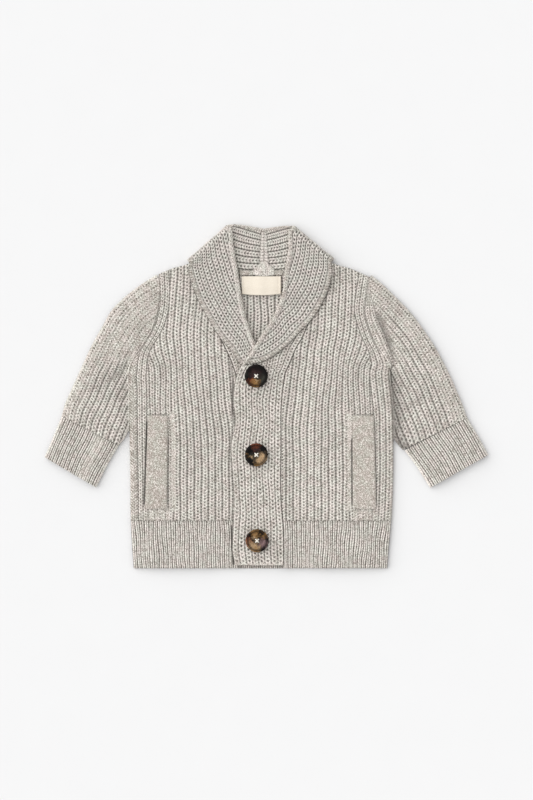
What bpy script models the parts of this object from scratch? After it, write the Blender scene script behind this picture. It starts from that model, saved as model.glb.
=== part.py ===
"""A baby's shawl-collar cardigan in ribbed knit, laid flat on its back and buttoned.

Left and right are the wearer's. All tables and sizes below are in millimetres: x runs across the
garment from its centre line, with +x to the wearer's left, y runs up from the bottom of the hem,
and z runs up from the surface that the cardigan lies on. The solids are built in this frame, then
moved so that the origin lies under the middle of the whole garment, and scaled to metres.
"""

import math

import bmesh
import bpy
import numpy as np

MM = 0.001

# ---------------------------------------------------------------- cloth
WALL = 2.4  # thickness of the knit at the crest of a rib
SEAM_GAP = 0.3
CURVED_SEAM_GAP = 0.5  # where two pieces meet along a curve made of short straight runs
LAYER = WALL + SEAM_GAP  # from one layer of cloth to the next
RIB_DEPTH = 0.9
EDGE_DROP = 0.9  # the crest rounds down by this much at a piece's edge
EDGE_WIDTH = 1.5
BODY_RIB = 6.65  # from rib to rib
BAND_RIB = 5.8
COLLAR_RIB = 5.1
SLEEVE_RIB = 6.2
FINE_RIB = 4.2  # hem and cuffs
PUFF = 1.8  # how far each front lifts off the back in its middle
PUFF_FROM_SIDE = 24.0  # the swell reaches its full height this far from the side edge
PUFF_SEAM_FLAT = 8.0  # it starts this far from the band's seam
PUFF_FROM_SEAM = 26.0
PUFF_TOP = 262.0  # and fades out towards this height
PUFF_FROM_TOP = 60.0

# ---------------------------------------------------------------- body
HEM_SEAM = 45.0
FRONT_HEM_BOTTOM = 0.6
BACK_HEM_BOTTOM = -0.6
CENTRE_BACK = 2.9  # x of the seam that joins the collar's halves
SHEAR_FROM = 200.0  # above this height the rows of a panel tilt towards the shoulder line
SHOULDER_ROW = 277.0
FRONT_VALLEY = 24.0  # the first valley between a front's ribs, from the centre line
FRONT_REACH = (19.0, 127.0)  # how far a front's ribs reach, from its seam to its side
HEM_WIDTH = 101.0
HEM_MIDDLE = 22.0
HEM_ROUND = 2.0  # a hem's crests reach their full height this far from its two long edges


def table(columns, *rows):
    """A table as one array for each named column."""
    return dict(zip(columns.split(), np.array(rows, float).T))


# The outer edge of fronts and back: side seam, then armhole, up to the shoulder.
BODY_EDGE = table(
    "y right left",
    (-1, -120.7, 119.7),
    (22, -122.3, 121.4),
    (45, -123.5, 123.6),
    (82, -124.0, 125.3),
    (127, -124.7, 125.3),
    (150, -124.9, 124.7),
    (168, -125.0, 122.9),
    (186, -125.3, 121.4),
    (192, -123.9, 121.9),
    (202, -118.8, 115.8),
    (212.5, -111.3, 108.4),
    (226, -103.0, 102.6),
    (241, -98.0, 98.6),
    (259, -96.3, 100.1),
    (278, -97.3, 103.4),
)
# The top edge: the back neck between the neck points, then the shoulder line on both sides.
TOP_EDGE = table(
    "x y",
    (0, 283.0),
    (20, 283.6),
    (40, 288.6),
    (54, 296.6),
    (57, 297.6),
    (61, 294.4),
    (67, 289.6),
    (73, 287.2),
    (82, 285.0),
    (92, 281.2),
    (100, 277.6),
    (108, 274.5),
)
# The seam of each front with its band below, and with its half of the collar above.
NECK_SEAM = table(
    "y right left",
    (-1, -22.0, 21.8),
    (37, -22.0, 21.3),
    (65, -22.2, 19.2),
    (118, -22.3, 19.2),
    (160, -22.3, 19.7),
    (175, -22.5, 21.4),
    (185, -24.3, 23.0),
    (194, -27.3, 27.1),
    (208, -33.5, 33.0),
    (218, -38.6, 38.8),
    (228, -42.8, 43.2),
    (243, -48.5, 48.5),
    (262, -53.0, 53.0),
    (280, -56.0, 56.0),
    (298, -57.0, 57.0),
)
# The free edge of the band that lies on top, slightly wavy.
BAND_EDGE = table(
    "y x",
    (3, -24.7),
    (15, -27.0),
    (34, -26.7),
    (65, -25.6),
    (95, -27.4),
    (117, -28.4),
    (139, -24.5),
    (160, -26.1),
    (176, -24.6),
    (190, -20.0),
    (194, -17.5),
)
UNDER_BAND_EDGE = 18.6  # the straight free edge of the band that lies under it
UNDER_BAND_INSET = 14.0  # which draws in by this much towards the collar
UNDER_BAND_CURVE = 40.0
BAND_BOTTOM = 3.0
BAND_WIDTH = 44.0
BAND_SLANT_FROM = 150.0  # above this height the rows of a band tilt towards its top edge
BAND_ROWS = (BAND_BOTTOM, 4.8, 25, 45, 75, 105, 130, 150, 163, 175, 186, 188)
BAND_TOP = {"left": (185.4, 193.6), "right": (182.6, 188.4)}  # at the seam, at the free edge

# ---------------------------------------------------------------- collar
# Sections of each half in front, from the break at the top of the band up to the shoulder. The
# stand runs from its seam to the roll, and the fall from the roll back to its free edge.
COLLAR_FRONT = {
    "left": table(
        "section seam_y roll_x roll_y free_x free_y",
        (0.00, 186.5, -17.0, 195.5, -15.5, 193.0),
        (0.10, 191.0, -12.0, 201.5, -7.5, 193.6),
        (0.20, 198.0, -5.9, 211.0, 1.0, 195.3),
        (0.32, 208.0, 2.0, 224.0, 13.0, 201.7),
        (0.44, 218.5, 9.2, 234.7, 25.7, 211.8),
        (0.56, 230.0, 14.9, 246.5, 37.3, 224.2),
        (0.67, 243.0, 19.6, 258.7, 48.5, 236.0),
        (0.78, 258.0, 21.2, 271.0, 57.8, 250.5),
        (0.90, 275.0, 23.0, 286.5, 64.6, 266.5),
        (1.00, 289.0, 26.0, 303.0, 67.5, 279.5),
    ),
    "right": table(
        "section seam_y roll_x roll_y free_x free_y",
        (0.00, 184.0, 4.0, 191.0, 1.0, 188.0),
        (0.10, 190.0, -0.5, 201.5, -9.5, 188.5),
        (0.20, 197.5, -5.5, 213.3, -19.2, 192.5),
        (0.32, 208.0, -9.5, 224.5, -28.3, 206.0),
        (0.44, 218.5, -13.0, 235.0, -38.6, 217.8),
        (0.56, 230.0, -16.0, 246.0, -47.0, 231.0),
        (0.67, 243.0, -18.3, 257.5, -54.6, 244.0),
        (0.78, 258.0, -20.2, 270.5, -60.8, 256.0),
        (0.90, 275.0, -22.4, 286.5, -66.3, 271.0),
        (1.00, 289.0, -25.8, 303.0, -69.2, 282.0),
    ),
}
# Where the collar turns round the shoulder, front to back, on the middle line of that turn.
COLLAR_TURN = {
    "left": dict(seam=(56.2, 298.7), roll=(31.2, 321.0), free=(66.4, 289.6)),
    "right": dict(seam=(-56.2, 299.0), roll=(-31.5, 320.8), free=(-67.3, 288.8)),
}
TURN_ANGLES = (0, 45, 90, 135, 180)
# Sections behind the neck, by how far they are from the shoulder towards the centre back.
COLLAR_BACK = table(
    "section seam_x roll_x roll_y free_x free_y",
    (0.12, 50.5, 27.0, 324.2, 57.5, 283.6),
    (0.35, 40.0, 19.5, 323.4, 43.5, 279.3),
    (0.68, 20.0, 9.5, 322.2, 21.0, 275.2),
    (1.00, 0.0, 0.0, 321.2, 0.0, 273.8),
)
# The free edge of the fall under the back, which lifts the cloth above it by one layer.
HIDDEN_FALL_EDGE = table("x y", (0, 273.5), (20, 275), (40, 278), (55, 282), (67, 289), (76, 299))
RISE_START = 12.0  # the back starts to climb this far below that edge
RISE_LENGTH = 6.0
FRONT_LEAD = 5.5  # upper layers start earlier
COLLAR_LEAD = 15.0
FALL_CLEARANCE = 0.2  # the fall lies this much looser on the front
PLAIN_EDGE = 5.0  # the plain selvedge strip along the fall's free edge

# ---------------------------------------------------------------- where the left side lies on the right
CROSS_FULL = 215.0  # up to this height the left band and stand lie on the right ones
CROSS_END = 245.0
PLACKET_RAMP = 14.0  # the left front climbs to its band over this width
CORNER = (-8.0, 200.0)  # the lowest corner of the right fall, under the left collar
CORNER_FULL = 21.0
CORNER_END = 44.0

# ---------------------------------------------------------------- sleeves
# One row for each section: its outer end, and the height where it ends on the armhole or underside.
SLEEVE = {
    "right": table(
        "section outer_x outer_y inner_y",
        (0.00, -100.6, 277.2, 273.5),
        (0.08, -112.0, 270.3, 257.0),
        (0.16, -122.9, 262.4, 243.0),
        (0.24, -132.6, 254.2, 231.5),
        (0.33, -142.6, 243.5, 219.0),
        (0.42, -150.4, 229.5, 207.5),
        (0.52, -158.7, 215.0, 193.0),
        (0.62, -166.0, 200.0, 178.0),
        (0.72, -173.0, 184.5, 162.0),
        (0.82, -180.3, 168.5, 145.0),
        (0.91, -186.0, 155.5, 129.5),
        (1.00, -189.0, 144.2, 116.3),
    ),
    "left": table(
        "section outer_x outer_y inner_y",
        (0.00, 104.8, 277.6, 273.5),
        (0.08, 115.5, 269.0, 257.0),
        (0.16, 125.6, 259.3, 243.0),
        (0.24, 135.6, 249.3, 231.5),
        (0.33, 146.8, 236.4, 219.0),
        (0.42, 156.0, 223.7, 207.5),
        (0.52, 165.7, 209.0, 193.0),
        (0.62, 173.3, 194.8, 178.0),
        (0.72, 180.6, 180.0, 162.0),
        (0.82, 187.2, 164.7, 145.0),
        (0.91, 192.0, 153.0, 127.0),
        (1.00, 195.6, 142.6, 112.0),
    ),
}
# Below the underarm the sleeve lies against the body's side, then leaves it towards the cuff.
SLEEVE_INNER = {
    "right": table("y x", (105, -143.0), (116.3, -135.2), (123, -129.8), (130, -126.2)),
    "left": table("y x", (100, 145.5), (112, 136.0), (120, 129.5), (129, 126.7)),
}
SIDE_CONTACT = 130.0  # the height down to which the sleeve follows the body's side
SLEEVE_HEIGHT = 7.6
ARMHOLE_HEIGHT = 5.6
CUFF_HEIGHT = 6.4
TUBE_ROUND = 9.0  # width over which a flattened tube rounds up from its edge
TUBE_EDGE_HEIGHT = 2.7  # height of the folded edge's tip
UNDER_ROUND = 1.6
SLEEVE_REACH = 82.0  # the widest that a sleeve lies
SLEEVE_SWELLS_BY = 0.35  # shares of its length where it reaches its full height
SLEEVE_SINKS_FROM = 0.75  # and where it sinks again towards the cuff
CUFF_WIDTH = 58.0

CUFF = {
    "right": table(
        "section outer_x outer_y inner_x inner_y",
        (0.0, -189.2, 143.6, -135.6, 115.8),
        (0.5, -196.8, 125.2, -147.0, 95.8),
        (1.0, -205.2, 105.4, -156.3, 76.6),
    ),
    "left": table(
        "section outer_x outer_y inner_x inner_y",
        (0.0, 195.9, 142.0, 136.3, 111.4),
        (0.5, 206.4, 124.4, 148.8, 94.6),
        (1.0, 215.6, 107.6, 160.3, 76.4),
    ),
}

# ---------------------------------------------------------------- small pieces
WELT_HEIGHTS = (56.0, 145.0)
WELT = {  # x of the lower and upper end of each long edge
    "right": dict(outer=(-110.0, -107.1), inner=(-88.9, -87.9)),
    "left": dict(outer=(109.3, 107.1), inner=(86.9, 86.5)),
}
WELT_THICK = 1.8
WELT_EDGE_DROP = 0.5
TAPE = dict(left=20.6, right=-20.2, top=282.4, bottom=277.6, thick=0.9)
LABEL = dict(left=18.9, right=-18.2, top=276.7, bottom=260.2, thick=0.6, bow=1.2)
LABEL_REACH = 2.5  # the label spans the rise of the cloth under it from this far above
BUTTON_RADIUS = 11.0
BUTTONS = {"top": (-4.5, 182.2), "middle": (-4.3, 107.7), "bottom": (-3.7, 26.5)}
# Half of a button's section, from the middle of its face to the middle of its back.
BUTTON_PROFILE = table(
    "radius z",
    (0.0, 2.5),
    (6.0, 2.6),
    (7.6, 3.5),
    (9.2, 4.0),
    (10.5, 3.6),
    (11.0, 2.4),
    (10.2, 0.9),
    (7.5, 0.0),
    (0.0, 0.0),
)
BUTTON_SEGMENTS = 24
HOLE_RADIUS = 1.1
HOLE_OFFSET = 2.1
HOLE_SEGMENTS = 8
HOLE_CUTTER_LENGTH = 12.0

KNIT = (0.70, 0.665, 0.615, 1.0)
KNIT_UNDER = (0.66, 0.625, 0.575, 1.0)
CREAM = (0.83, 0.77, 0.66, 1.0)
TORTOISESHELL = (0.085, 0.045, 0.028, 1.0)
SIDES = {"right": -1, "left": 1}


# ---------------------------------------------------------------- reading tables and heights
def read(rows, key, column, at):
    """A column of a table, on a smooth curve through its rows, where the key column holds at."""
    x, y = rows[key], rows[column]
    slope = np.gradient(y, x)
    at = min(max(at, x[0]), x[-1])
    i = min(int(np.searchsorted(x, at, side="right")) - 1, len(x) - 2)
    span = x[i + 1] - x[i]
    t = (at - x[i]) / span
    return float(
        (2 * t**3 - 3 * t**2 + 1) * y[i]
        + (t**3 - 2 * t**2 + t) * span * slope[i]
        + (3 * t**2 - 2 * t**3) * y[i + 1]
        + (t**3 - t**2) * span * slope[i + 1]
    )


def ease(t):
    """A smooth step from 0 to 1."""
    t = min(max(t, 0.0), 1.0)
    return t * t * (3 - 2 * t)


def top_edge(x):
    return read(TOP_EDGE, "x", "y", abs(x))


def back_rise(x, y, lead=0.0):
    """How far the hidden fall lifts the cloth above it."""
    start = read(HIDDEN_FALL_EDGE, "x", "y", abs(x)) - RISE_START - lead
    return LAYER * ease((y - start) / (RISE_LENGTH + lead / 2))


def cross_rise(x, y):
    """How far the left band, stand and front lie above their own layer, on the right side's."""
    beyond = max(0.0, x - read(NECK_SEAM, "y", "left", y))
    up = ease((CROSS_END - y) / (CROSS_END - CROSS_FULL))
    return LAYER * up * ease(1 - beyond / PLACKET_RAMP)


def corner_rise(x, y):
    """How far the corner of the right fall lifts the left band and collar."""
    away = math.hypot(x - CORNER[0], y - CORNER[1])
    return LAYER * ease((CORNER_END - away) / (CORNER_END - CORNER_FULL))


def puff(x, y, side):
    """The soft swell of a front between its seams."""
    from_edge = abs(read(BODY_EDGE, "y", side, y) - x)
    from_seam = abs(x - read(NECK_SEAM, "y", side, y)) - PUFF_SEAM_FLAT
    swell = ease(from_edge / PUFF_FROM_SIDE) * ease(from_seam / PUFF_FROM_SEAM)
    return PUFF * swell * ease((PUFF_TOP - y) / PUFF_FROM_TOP)


def front_base(x, y, side, lead=FRONT_LEAD):
    """The underside of the layer that a front, its band and its stand share."""
    sign = SIDES[side]
    beyond = sign * (x - read(NECK_SEAM, "y", side, y))
    base = LAYER + back_rise(x, y, lead)
    if side == "left":
        base += cross_rise(x, y)
    if beyond > 0:
        base += puff(x, y, side)
    return base


def strip_base(x, y, side):
    """The underside of a band or a stand."""
    base = front_base(x, y, side, COLLAR_LEAD)
    return base + corner_rise(x, y) if side == "left" else base


def rib(distance, pitch):
    """How far the knit lies below its crest: nothing on a rib, RIB_DEPTH in a valley."""
    return RIB_DEPTH * (0.5 + 0.5 * math.cos(2 * math.pi * distance / pitch))


# ---------------------------------------------------------------- building meshes
def stitch(mesh, first, second):
    """Triangles between two runs of points that start and end side by side."""

    def places(run):
        steps = [(b.co - a.co).length for a, b in zip(run, run[1:])]
        return np.concatenate([[0], np.cumsum(steps)]) / max(sum(steps), 1e-9)

    p, q = places(first), places(second)
    i = j = 0
    while i < len(first) - 1 or j < len(second) - 1:
        if j == len(second) - 1 or (i < len(first) - 1 and p[i + 1] <= q[j + 1]):
            mesh.faces.new((first[i], first[i + 1], second[j]))
            i += 1
        else:
            mesh.faces.new((second[j + 1], second[j], first[i]))
            j += 1


def skin(mesh, rows):
    """Quads between successive rows of points."""
    for below, above in zip(rows, rows[1:]):
        for i in range(len(below) - 1):
            mesh.faces.new((below[i], below[i + 1], above[i + 1], above[i]))


def raise_points(mesh, rows):
    return [[mesh.verts.new(point) for point in row] for row in rows]


def finish(mesh, name, material):
    """Joins points that were clamped together, faces the skin outwards and makes the object."""
    bmesh.ops.remove_doubles(mesh, verts=mesh.verts, dist=0.01)
    bmesh.ops.recalc_face_normals(mesh, faces=mesh.faces)
    if mesh.calc_volume(signed=True) < 0:
        bmesh.ops.reverse_faces(mesh, faces=mesh.faces)
    data = bpy.data.meshes.new(name)
    mesh.to_mesh(data)
    mesh.free()
    data.materials.append(material)
    data.shade_smooth()
    data.set_sharp_from_angle(angle=math.radians(50))
    piece = bpy.data.objects.new(name, data)
    bpy.context.scene.collection.objects.link(piece)
    return piece


def sheet(name, top, under, material, groups=None):
    """A closed wall between two skins with the same number of rows.

    groups pairs the columns of the two skins: each run of columns in one is stitched along the
    ends to the run beside it in the other.
    """
    mesh = bmesh.new()
    above, below = raise_points(mesh, top), raise_points(mesh, under)
    skin(mesh, above)
    skin(mesh, below)
    for column in (0, -1):
        rim = [[a[column], b[column]] for a, b in zip(above, below)]
        skin(mesh, rim)
    groups = groups or [((0, len(top[0]) - 1), (0, len(under[0]) - 1))]
    for (a0, a1), (b0, b1) in groups:
        for end in (0, -1):
            stitch(mesh, above[end][a0 : a1 + 1], below[end][b0 : b1 + 1])
    return finish(mesh, name, material)


def tube(name, outer_top, outer_under, inner_top, inner_under, material):
    """A flattened tube of cloth, open at both ends, from its four skins."""
    mesh = bmesh.new()
    skins = [raise_points(mesh, rows) for rows in (outer_top, outer_under, inner_top, inner_under)]
    for rows in skins:
        skin(mesh, rows)
    for outside, inside in ((skins[0], skins[2]), (skins[1], skins[3])):
        for end in (0, -1):
            stitch(mesh, outside[end], inside[end])
    return finish(mesh, name, material)


def columns_between(low, high, pitch, start):
    """Places across a piece: both edges, a point just inside each, and two for each rib between."""
    inside_low, inside_high = low + EDGE_WIDTH, high - EDGE_WIDTH
    first = math.floor((low - start) / (pitch / 2))
    last = math.ceil((high - start) / (pitch / 2))
    ribs = [start + k * pitch / 2 for k in range(first, last + 1)]
    return [low, inside_low] + [x for x in ribs if inside_low < x < inside_high] + [inside_high, high]


def clamp_columns(places, low, high):
    """The same places where the piece is narrower: those outside fall together on its edges."""
    near = EDGE_WIDTH + 0.8
    held = [low, low + EDGE_WIDTH]
    for x in places[2:-2]:
        if x < low + near:
            x = low + EDGE_WIDTH
        if x > high - near:
            x = high - EDGE_WIDTH
        held.append(x)
    return held + [high - EDGE_WIDTH, high]


def even(low, high, count):
    return [low + (high - low) * i / (count - 1) for i in range(count)]


# ---------------------------------------------------------------- fronts, back and hems
SHOULDER_PLACES = (36, 45, 53, 59, 64, 69, 74, 80, 90, 105)
SEAM_PLACES = (27, 32)
WINDOW_RIBS = 4  # whole ribs of the back on each side of its centre line, in the neck opening
WINDOW_PLACES = [-24, -12, 0, 12, 24]
BODY_ROWS = (45.3, 46.8, 75, 105, 135, 165, 186, 200, 214, 228, 242, 252, 259, 264, 268, 272, 275.6, 277)


def sheared(row, x):
    """The height of a row at x: rows near the shoulder follow the top edge."""
    tilt = max(0.0, (row - SHEAR_FROM) / (SHOULDER_ROW - SHEAR_FROM))
    return row + (top_edge(x) - SHOULDER_ROW) * tilt


def limits(row, x_guess, edge):
    """The x of a panel's edge on a sheared row."""
    x = x_guess
    for _ in range(6):
        x = edge(sheared(row, x))
    return x


def front(side, material):
    sign = SIDES[side]
    places = columns_between(*FRONT_REACH, BODY_RIB, FRONT_VALLEY)
    top, under = [], []
    for row in BODY_ROWS:
        seam = limits(row, sign * 50, lambda y: read(NECK_SEAM, "y", side, y))
        edge = limits(row, sign * 100, lambda y: read(BODY_EDGE, "y", side, y))
        low, high = abs(seam), abs(edge)
        at_end = row in (BODY_ROWS[0], BODY_ROWS[-1])
        crest, plain = [], []
        held = clamp_columns(places, low, high)
        for i, across in enumerate(held):
            x = sign * across
            y = sheared(row, x)
            on_rim = at_end or i in (0, len(held) - 1)
            drop = EDGE_DROP if on_rim else rib(across - FRONT_VALLEY, BODY_RIB)
            crest.append((x, y, front_base(x, y, side) + WALL - drop))
        between = [min(max(across, low + 1), high - 1) for across in SEAM_PLACES + SHOULDER_PLACES]
        for across in [low] + between + [high]:
            x = sign * across
            y = sheared(row, x)
            plain.append((x, y, front_base(x, y, side)))
        top.append(crest)
        under.append(plain)
    return sheet(f"front_{side}", top, under, material)


def back(material):
    """The back: its inner face shows ribs in the neck opening, its underside lies flat."""
    window = [k * BODY_RIB / 2 for k in range(-2 * WINDOW_RIBS, 2 * WINDOW_RIBS + 1)]
    mirrored = [-x for x in reversed(SHOULDER_PLACES)]
    across = mirrored + window + list(SHOULDER_PLACES)
    spread = mirrored + WINDOW_PLACES + list(SHOULDER_PLACES)
    top, under = [], []
    for row in BODY_ROWS:
        low = limits(row, -100, lambda y: read(BODY_EDGE, "y", "right", y))
        high = limits(row, 100, lambda y: read(BODY_EDGE, "y", "left", y))
        at_end = row in (BODY_ROWS[0], BODY_ROWS[-1])
        rows = []
        for places, lift in ((across, WALL), (spread, 0.0)):
            edge = [low, low + EDGE_WIDTH]
            edge += [min(max(x, low + EDGE_WIDTH), high - EDGE_WIDTH) for x in places]
            edge += [high - EDGE_WIDTH, high]
            points = []
            for i, x in enumerate(edge):
                y = sheared(row, x)
                z = back_rise(x, y) + lift
                if lift and (at_end or i in (0, len(edge) - 1)):
                    z -= EDGE_DROP
                elif lift and x in window and row > SHEAR_FROM:
                    z -= rib(x, BODY_RIB)
                points.append((x, y, z))
            rows.append(points)
        top.append(rows[0])
        under.append(rows[1])
    return sheet("back", top, under, material)


def hem_heights(bottom):
    top = HEM_SEAM - SEAM_GAP
    return (bottom, bottom + HEM_ROUND, HEM_MIDDLE, top - HEM_ROUND, top)


def front_hem(side, material):
    sign = SIDES[side]
    heights = hem_heights(FRONT_HEM_BOTTOM)
    count = 2 * round(HEM_WIDTH / FINE_RIB) + 1
    top, under = [], []
    for y in heights:
        low = read(NECK_SEAM, "y", side, y)
        high = read(BODY_EDGE, "y", side, y)
        inside = even(low + sign * EDGE_WIDTH, high - sign * EDGE_WIDTH, count)
        crest, plain = [], []
        for i, x in enumerate([low] + inside + [high]):
            on_rim = y in (heights[0], heights[-1]) or i in (0, count + 1)
            drop = EDGE_DROP if on_rim else RIB_DEPTH * (i % 2)
            crest.append((x, y, front_base(x, y, side) + WALL - drop))
        for x in even(low, high, 10):
            plain.append((x, y, front_base(x, y, side)))
        top.append(crest)
        under.append(plain)
    return sheet(f"hem_{side}", top, under, material)


def back_hem(material):
    """The back hem shows only as a sliver below the bands, and lies flat."""
    top, under = [], []
    heights = hem_heights(BACK_HEM_BOTTOM)
    for y in heights:
        low = read(BODY_EDGE, "y", "right", y)
        high = read(BODY_EDGE, "y", "left", y)
        on_end = y in (heights[0], heights[-1])
        inside = even(low + EDGE_WIDTH, high - EDGE_WIDTH, 9)
        drops = [EDGE_DROP] + [EDGE_DROP if on_end else 0] * len(inside) + [EDGE_DROP]
        top.append([(x, y, WALL - drop) for x, drop in zip([low] + inside + [high], drops)])
        under.append([(x, y, 0.0) for x in even(low, high, 5)])
    return sheet("hem_back", top, under, material)


# ---------------------------------------------------------------- bands
def band(side, free_edge, material):
    """A button band, from the hem up to the line where the collar starts to fold over."""
    sign = SIDES[side]
    seam_at, free_at = BAND_TOP[side]
    highest = BAND_ROWS[-1]
    count = 2 * round(BAND_WIDTH / BAND_RIB) + 1
    top, under = [], []
    for y in BAND_ROWS:
        part = ease((y - BAND_SLANT_FROM) / (highest - BAND_SLANT_FROM))
        seam_y = y + part * (seam_at - highest)
        seam = read(NECK_SEAM, "y", side, seam_y) - sign * CURVED_SEAM_GAP
        free = free_edge(y + part * (free_at - highest))
        crest, plain = [], []

        def place(x):
            along = (x - seam) / (free - seam)
            slant = seam_at + (free_at - seam_at) * along - highest
            return y + part * slant

        inside = even(seam - sign * EDGE_WIDTH, free + sign * EDGE_WIDTH, count)
        for i, x in enumerate([seam] + inside + [free]):
            on_rim = y in (BAND_ROWS[0], highest) or i in (0, count + 1)
            drop = EDGE_DROP if on_rim else RIB_DEPTH * (i % 2)
            crest.append((x, place(x), strip_base(x, place(x), side) + WALL - drop))
        for x in even(seam, free, 6):
            plain.append((x, place(x), strip_base(x, place(x), side)))
        top.append(crest)
        under.append(plain)
    return sheet(f"band_{side}", top, under, material)


def bands(material, under_material):
    band("left", lambda y: read(BAND_EDGE, "y", "x", y), material)

    def under_edge(y):
        return UNDER_BAND_EDGE - UNDER_BAND_INSET * ease((y - BAND_SLANT_FROM) / UNDER_BAND_CURVE)

    band("right", under_edge, under_material)


# ---------------------------------------------------------------- collar
FALL_COLUMNS = 20
STAND_COLUMNS = 13
INSIDE_COLUMNS = 5  # of the fall and of the stand, on the side that is turned in
ROLL_ANGLES = (-60, 0, 60)
INNER_ROLL_ANGLES = (-45, 45)
SECTIONS = (0.0, 0.07, 0.14, 0.22, 0.32, 0.43, 0.54, 0.64, 0.73, 0.82, 0.91, 1.0)
SHORTEST_STEP = 0.9  # a column nearer than this to the roll moves onto it


def section_skins(seam, roll, free, out, behind, ground=None):
    """One section of the collar: its convex and its concave line of points.

    seam and roll end the stand's middle line, free ends the fall's, and out points from the stand
    to the fall. roll is the place of the roll's middle. behind is true from the shoulder to the
    centre back: there the ribs show on the stand, and the fall lies flat. ground, where it is
    given, holds the heights of the stand's and the fall's middle over any place.
    """
    radius = LAYER / 2
    half = WALL / 2
    seam, roll, free, out = (np.array(v, float) for v in (seam, roll, free, out))
    towards = roll - seam
    towards -= out * towards.dot(out)
    towards /= np.linalg.norm(towards)
    stand_end = roll - out * radius
    fall_end = roll + out * radius

    def on_ground(point, which):
        if ground:
            point[2] = ground[which](point[0], point[1])
        return point

    stand_end = on_ground(stand_end, 0)
    fall_end = on_ground(fall_end, 1)
    middle = (stand_end + fall_end) / 2
    radius = np.linalg.norm(fall_end - stand_end) / 2
    length = np.linalg.norm(fall_end - free)

    convex, concave = [], []
    for k in range(FALL_COLUMNS):
        if k < 2:
            distance = k * EDGE_WIDTH
        else:
            distance = PLAIN_EDGE + (k - 2) * COLLAR_RIB / 2
        distance = min(distance, length)
        if length - distance < SHORTEST_STEP:
            distance = length
        point = on_ground(free + (fall_end - free) * distance / length, 1)
        ribbed = k >= 2 and distance < length and not behind
        drop = EDGE_DROP if k == 0 else (rib(distance - PLAIN_EDGE, COLLAR_RIB) if ribbed else 0.0)
        convex.append(point + out * (half - drop))
    for angle in reversed(ROLL_ANGLES):
        turned = out * math.sin(math.radians(angle)) + towards * math.cos(math.radians(angle))
        convex.append(middle + turned * (radius + half))
    for k in range(STAND_COLUMNS):
        part = k / (STAND_COLUMNS - 1)
        point = on_ground(stand_end + (seam - stand_end) * part, 0)
        drop = RIB_DEPTH * (k % 2) if behind else 0.0
        convex.append(point - out * (half - drop))

    for part in even(0.0, 1.0, INSIDE_COLUMNS):
        point = on_ground(free + (fall_end - free) * part, 1)
        concave.append(point - out * half)
    for angle in reversed(INNER_ROLL_ANGLES):
        turned = out * math.sin(math.radians(angle)) + towards * math.cos(math.radians(angle))
        concave.append(middle + turned * (radius - half))
    for part in even(0.0, 1.0, INSIDE_COLUMNS):
        point = on_ground(stand_end + (seam - stand_end) * part, 0)
        concave.append(point + out * half)
    return convex, concave


def collar(side, material):
    sign = SIDES[side]
    roll_inset = LAYER / 2 + WALL / 2
    sections = []

    def stand_height(x, y):
        return strip_base(x, y, side) + WALL / 2

    def fall_height(x, y):
        return strip_base(x, y, side) + LAYER + FALL_CLEARANCE + WALL / 2

    rows = COLLAR_FRONT[side]
    for at in SECTIONS:
        place = {name: read(rows, "section", name, at) for name in rows if name != "section"}
        seam_x = read(NECK_SEAM, "y", side, place["seam_y"]) - sign * CURVED_SEAM_GAP
        seam = np.array([seam_x, place["seam_y"], 0.0])
        roll = np.array([place["roll_x"], place["roll_y"], 0.0])
        inward = (roll - seam) / np.linalg.norm(roll - seam)
        roll -= inward * roll_inset
        free = np.array([place["free_x"], place["free_y"], 0.0])
        seam[2] = stand_height(seam[0], seam[1])
        roll[2] = stand_height(roll[0], roll[1]) + LAYER / 2
        free[2] = fall_height(free[0], free[1])
        heights = (stand_height, fall_height)
        sections.append(section_skins(seam, roll, free, (0, 0, 1), False, heights))

    turn = COLLAR_TURN[side]
    axis_z = 1.5 * LAYER + WALL / 2
    axis = {name: np.array([x, y, axis_z]) for name, (x, y) in turn.items()}
    run = axis["free"] - axis["roll"]
    outward = np.array([-run[1], run[0], 0.0]) * sign
    outward /= np.linalg.norm(outward)
    for angle in TURN_ANGLES:
        radial = np.array([0, 0, math.cos(math.radians(angle))])
        radial += outward * math.sin(math.radians(angle))
        seam = axis["seam"] + radial * (LAYER / 2)
        roll = axis["roll"] + radial * LAYER
        free = axis["free"] + radial * (1.5 * LAYER)
        sections.append(section_skins(seam, roll, free, radial, angle > 90))

    stand_z, fall_z = LAYER + WALL / 2, WALL / 2
    for i in range(len(COLLAR_BACK["section"])):
        place = {name: COLLAR_BACK[name][i] for name in COLLAR_BACK}
        shift = CENTRE_BACK * place["section"] + sign * (SEAM_GAP / 2) * (place["section"] == 1)

        seam_x = sign * place["seam_x"] + shift
        seam = (seam_x, top_edge(seam_x) + CURVED_SEAM_GAP, stand_z)
        roll_y = place["roll_y"] - roll_inset
        roll = (sign * place["roll_x"] + shift, roll_y, (stand_z + fall_z) / 2)
        free = (sign * place["free_x"] + shift, place["free_y"], fall_z)
        sections.append(section_skins(seam, roll, free, (0, 0, -1), True))

    convex = [section[0] for section in sections]
    concave = [section[1] for section in sections]
    roll_ends = (FALL_COLUMNS - 1, FALL_COLUMNS + len(ROLL_ANGLES))
    inner_ends = (INSIDE_COLUMNS - 1, INSIDE_COLUMNS + len(INNER_ROLL_ANGLES))
    groups = [
        ((0, roll_ends[0]), (0, inner_ends[0])),
        (roll_ends, inner_ends),
        ((roll_ends[1], len(convex[0]) - 1), (inner_ends[1], len(concave[0]) - 1)),
    ]
    return sheet(f"collar_{side}", convex, concave, material, groups)


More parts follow.
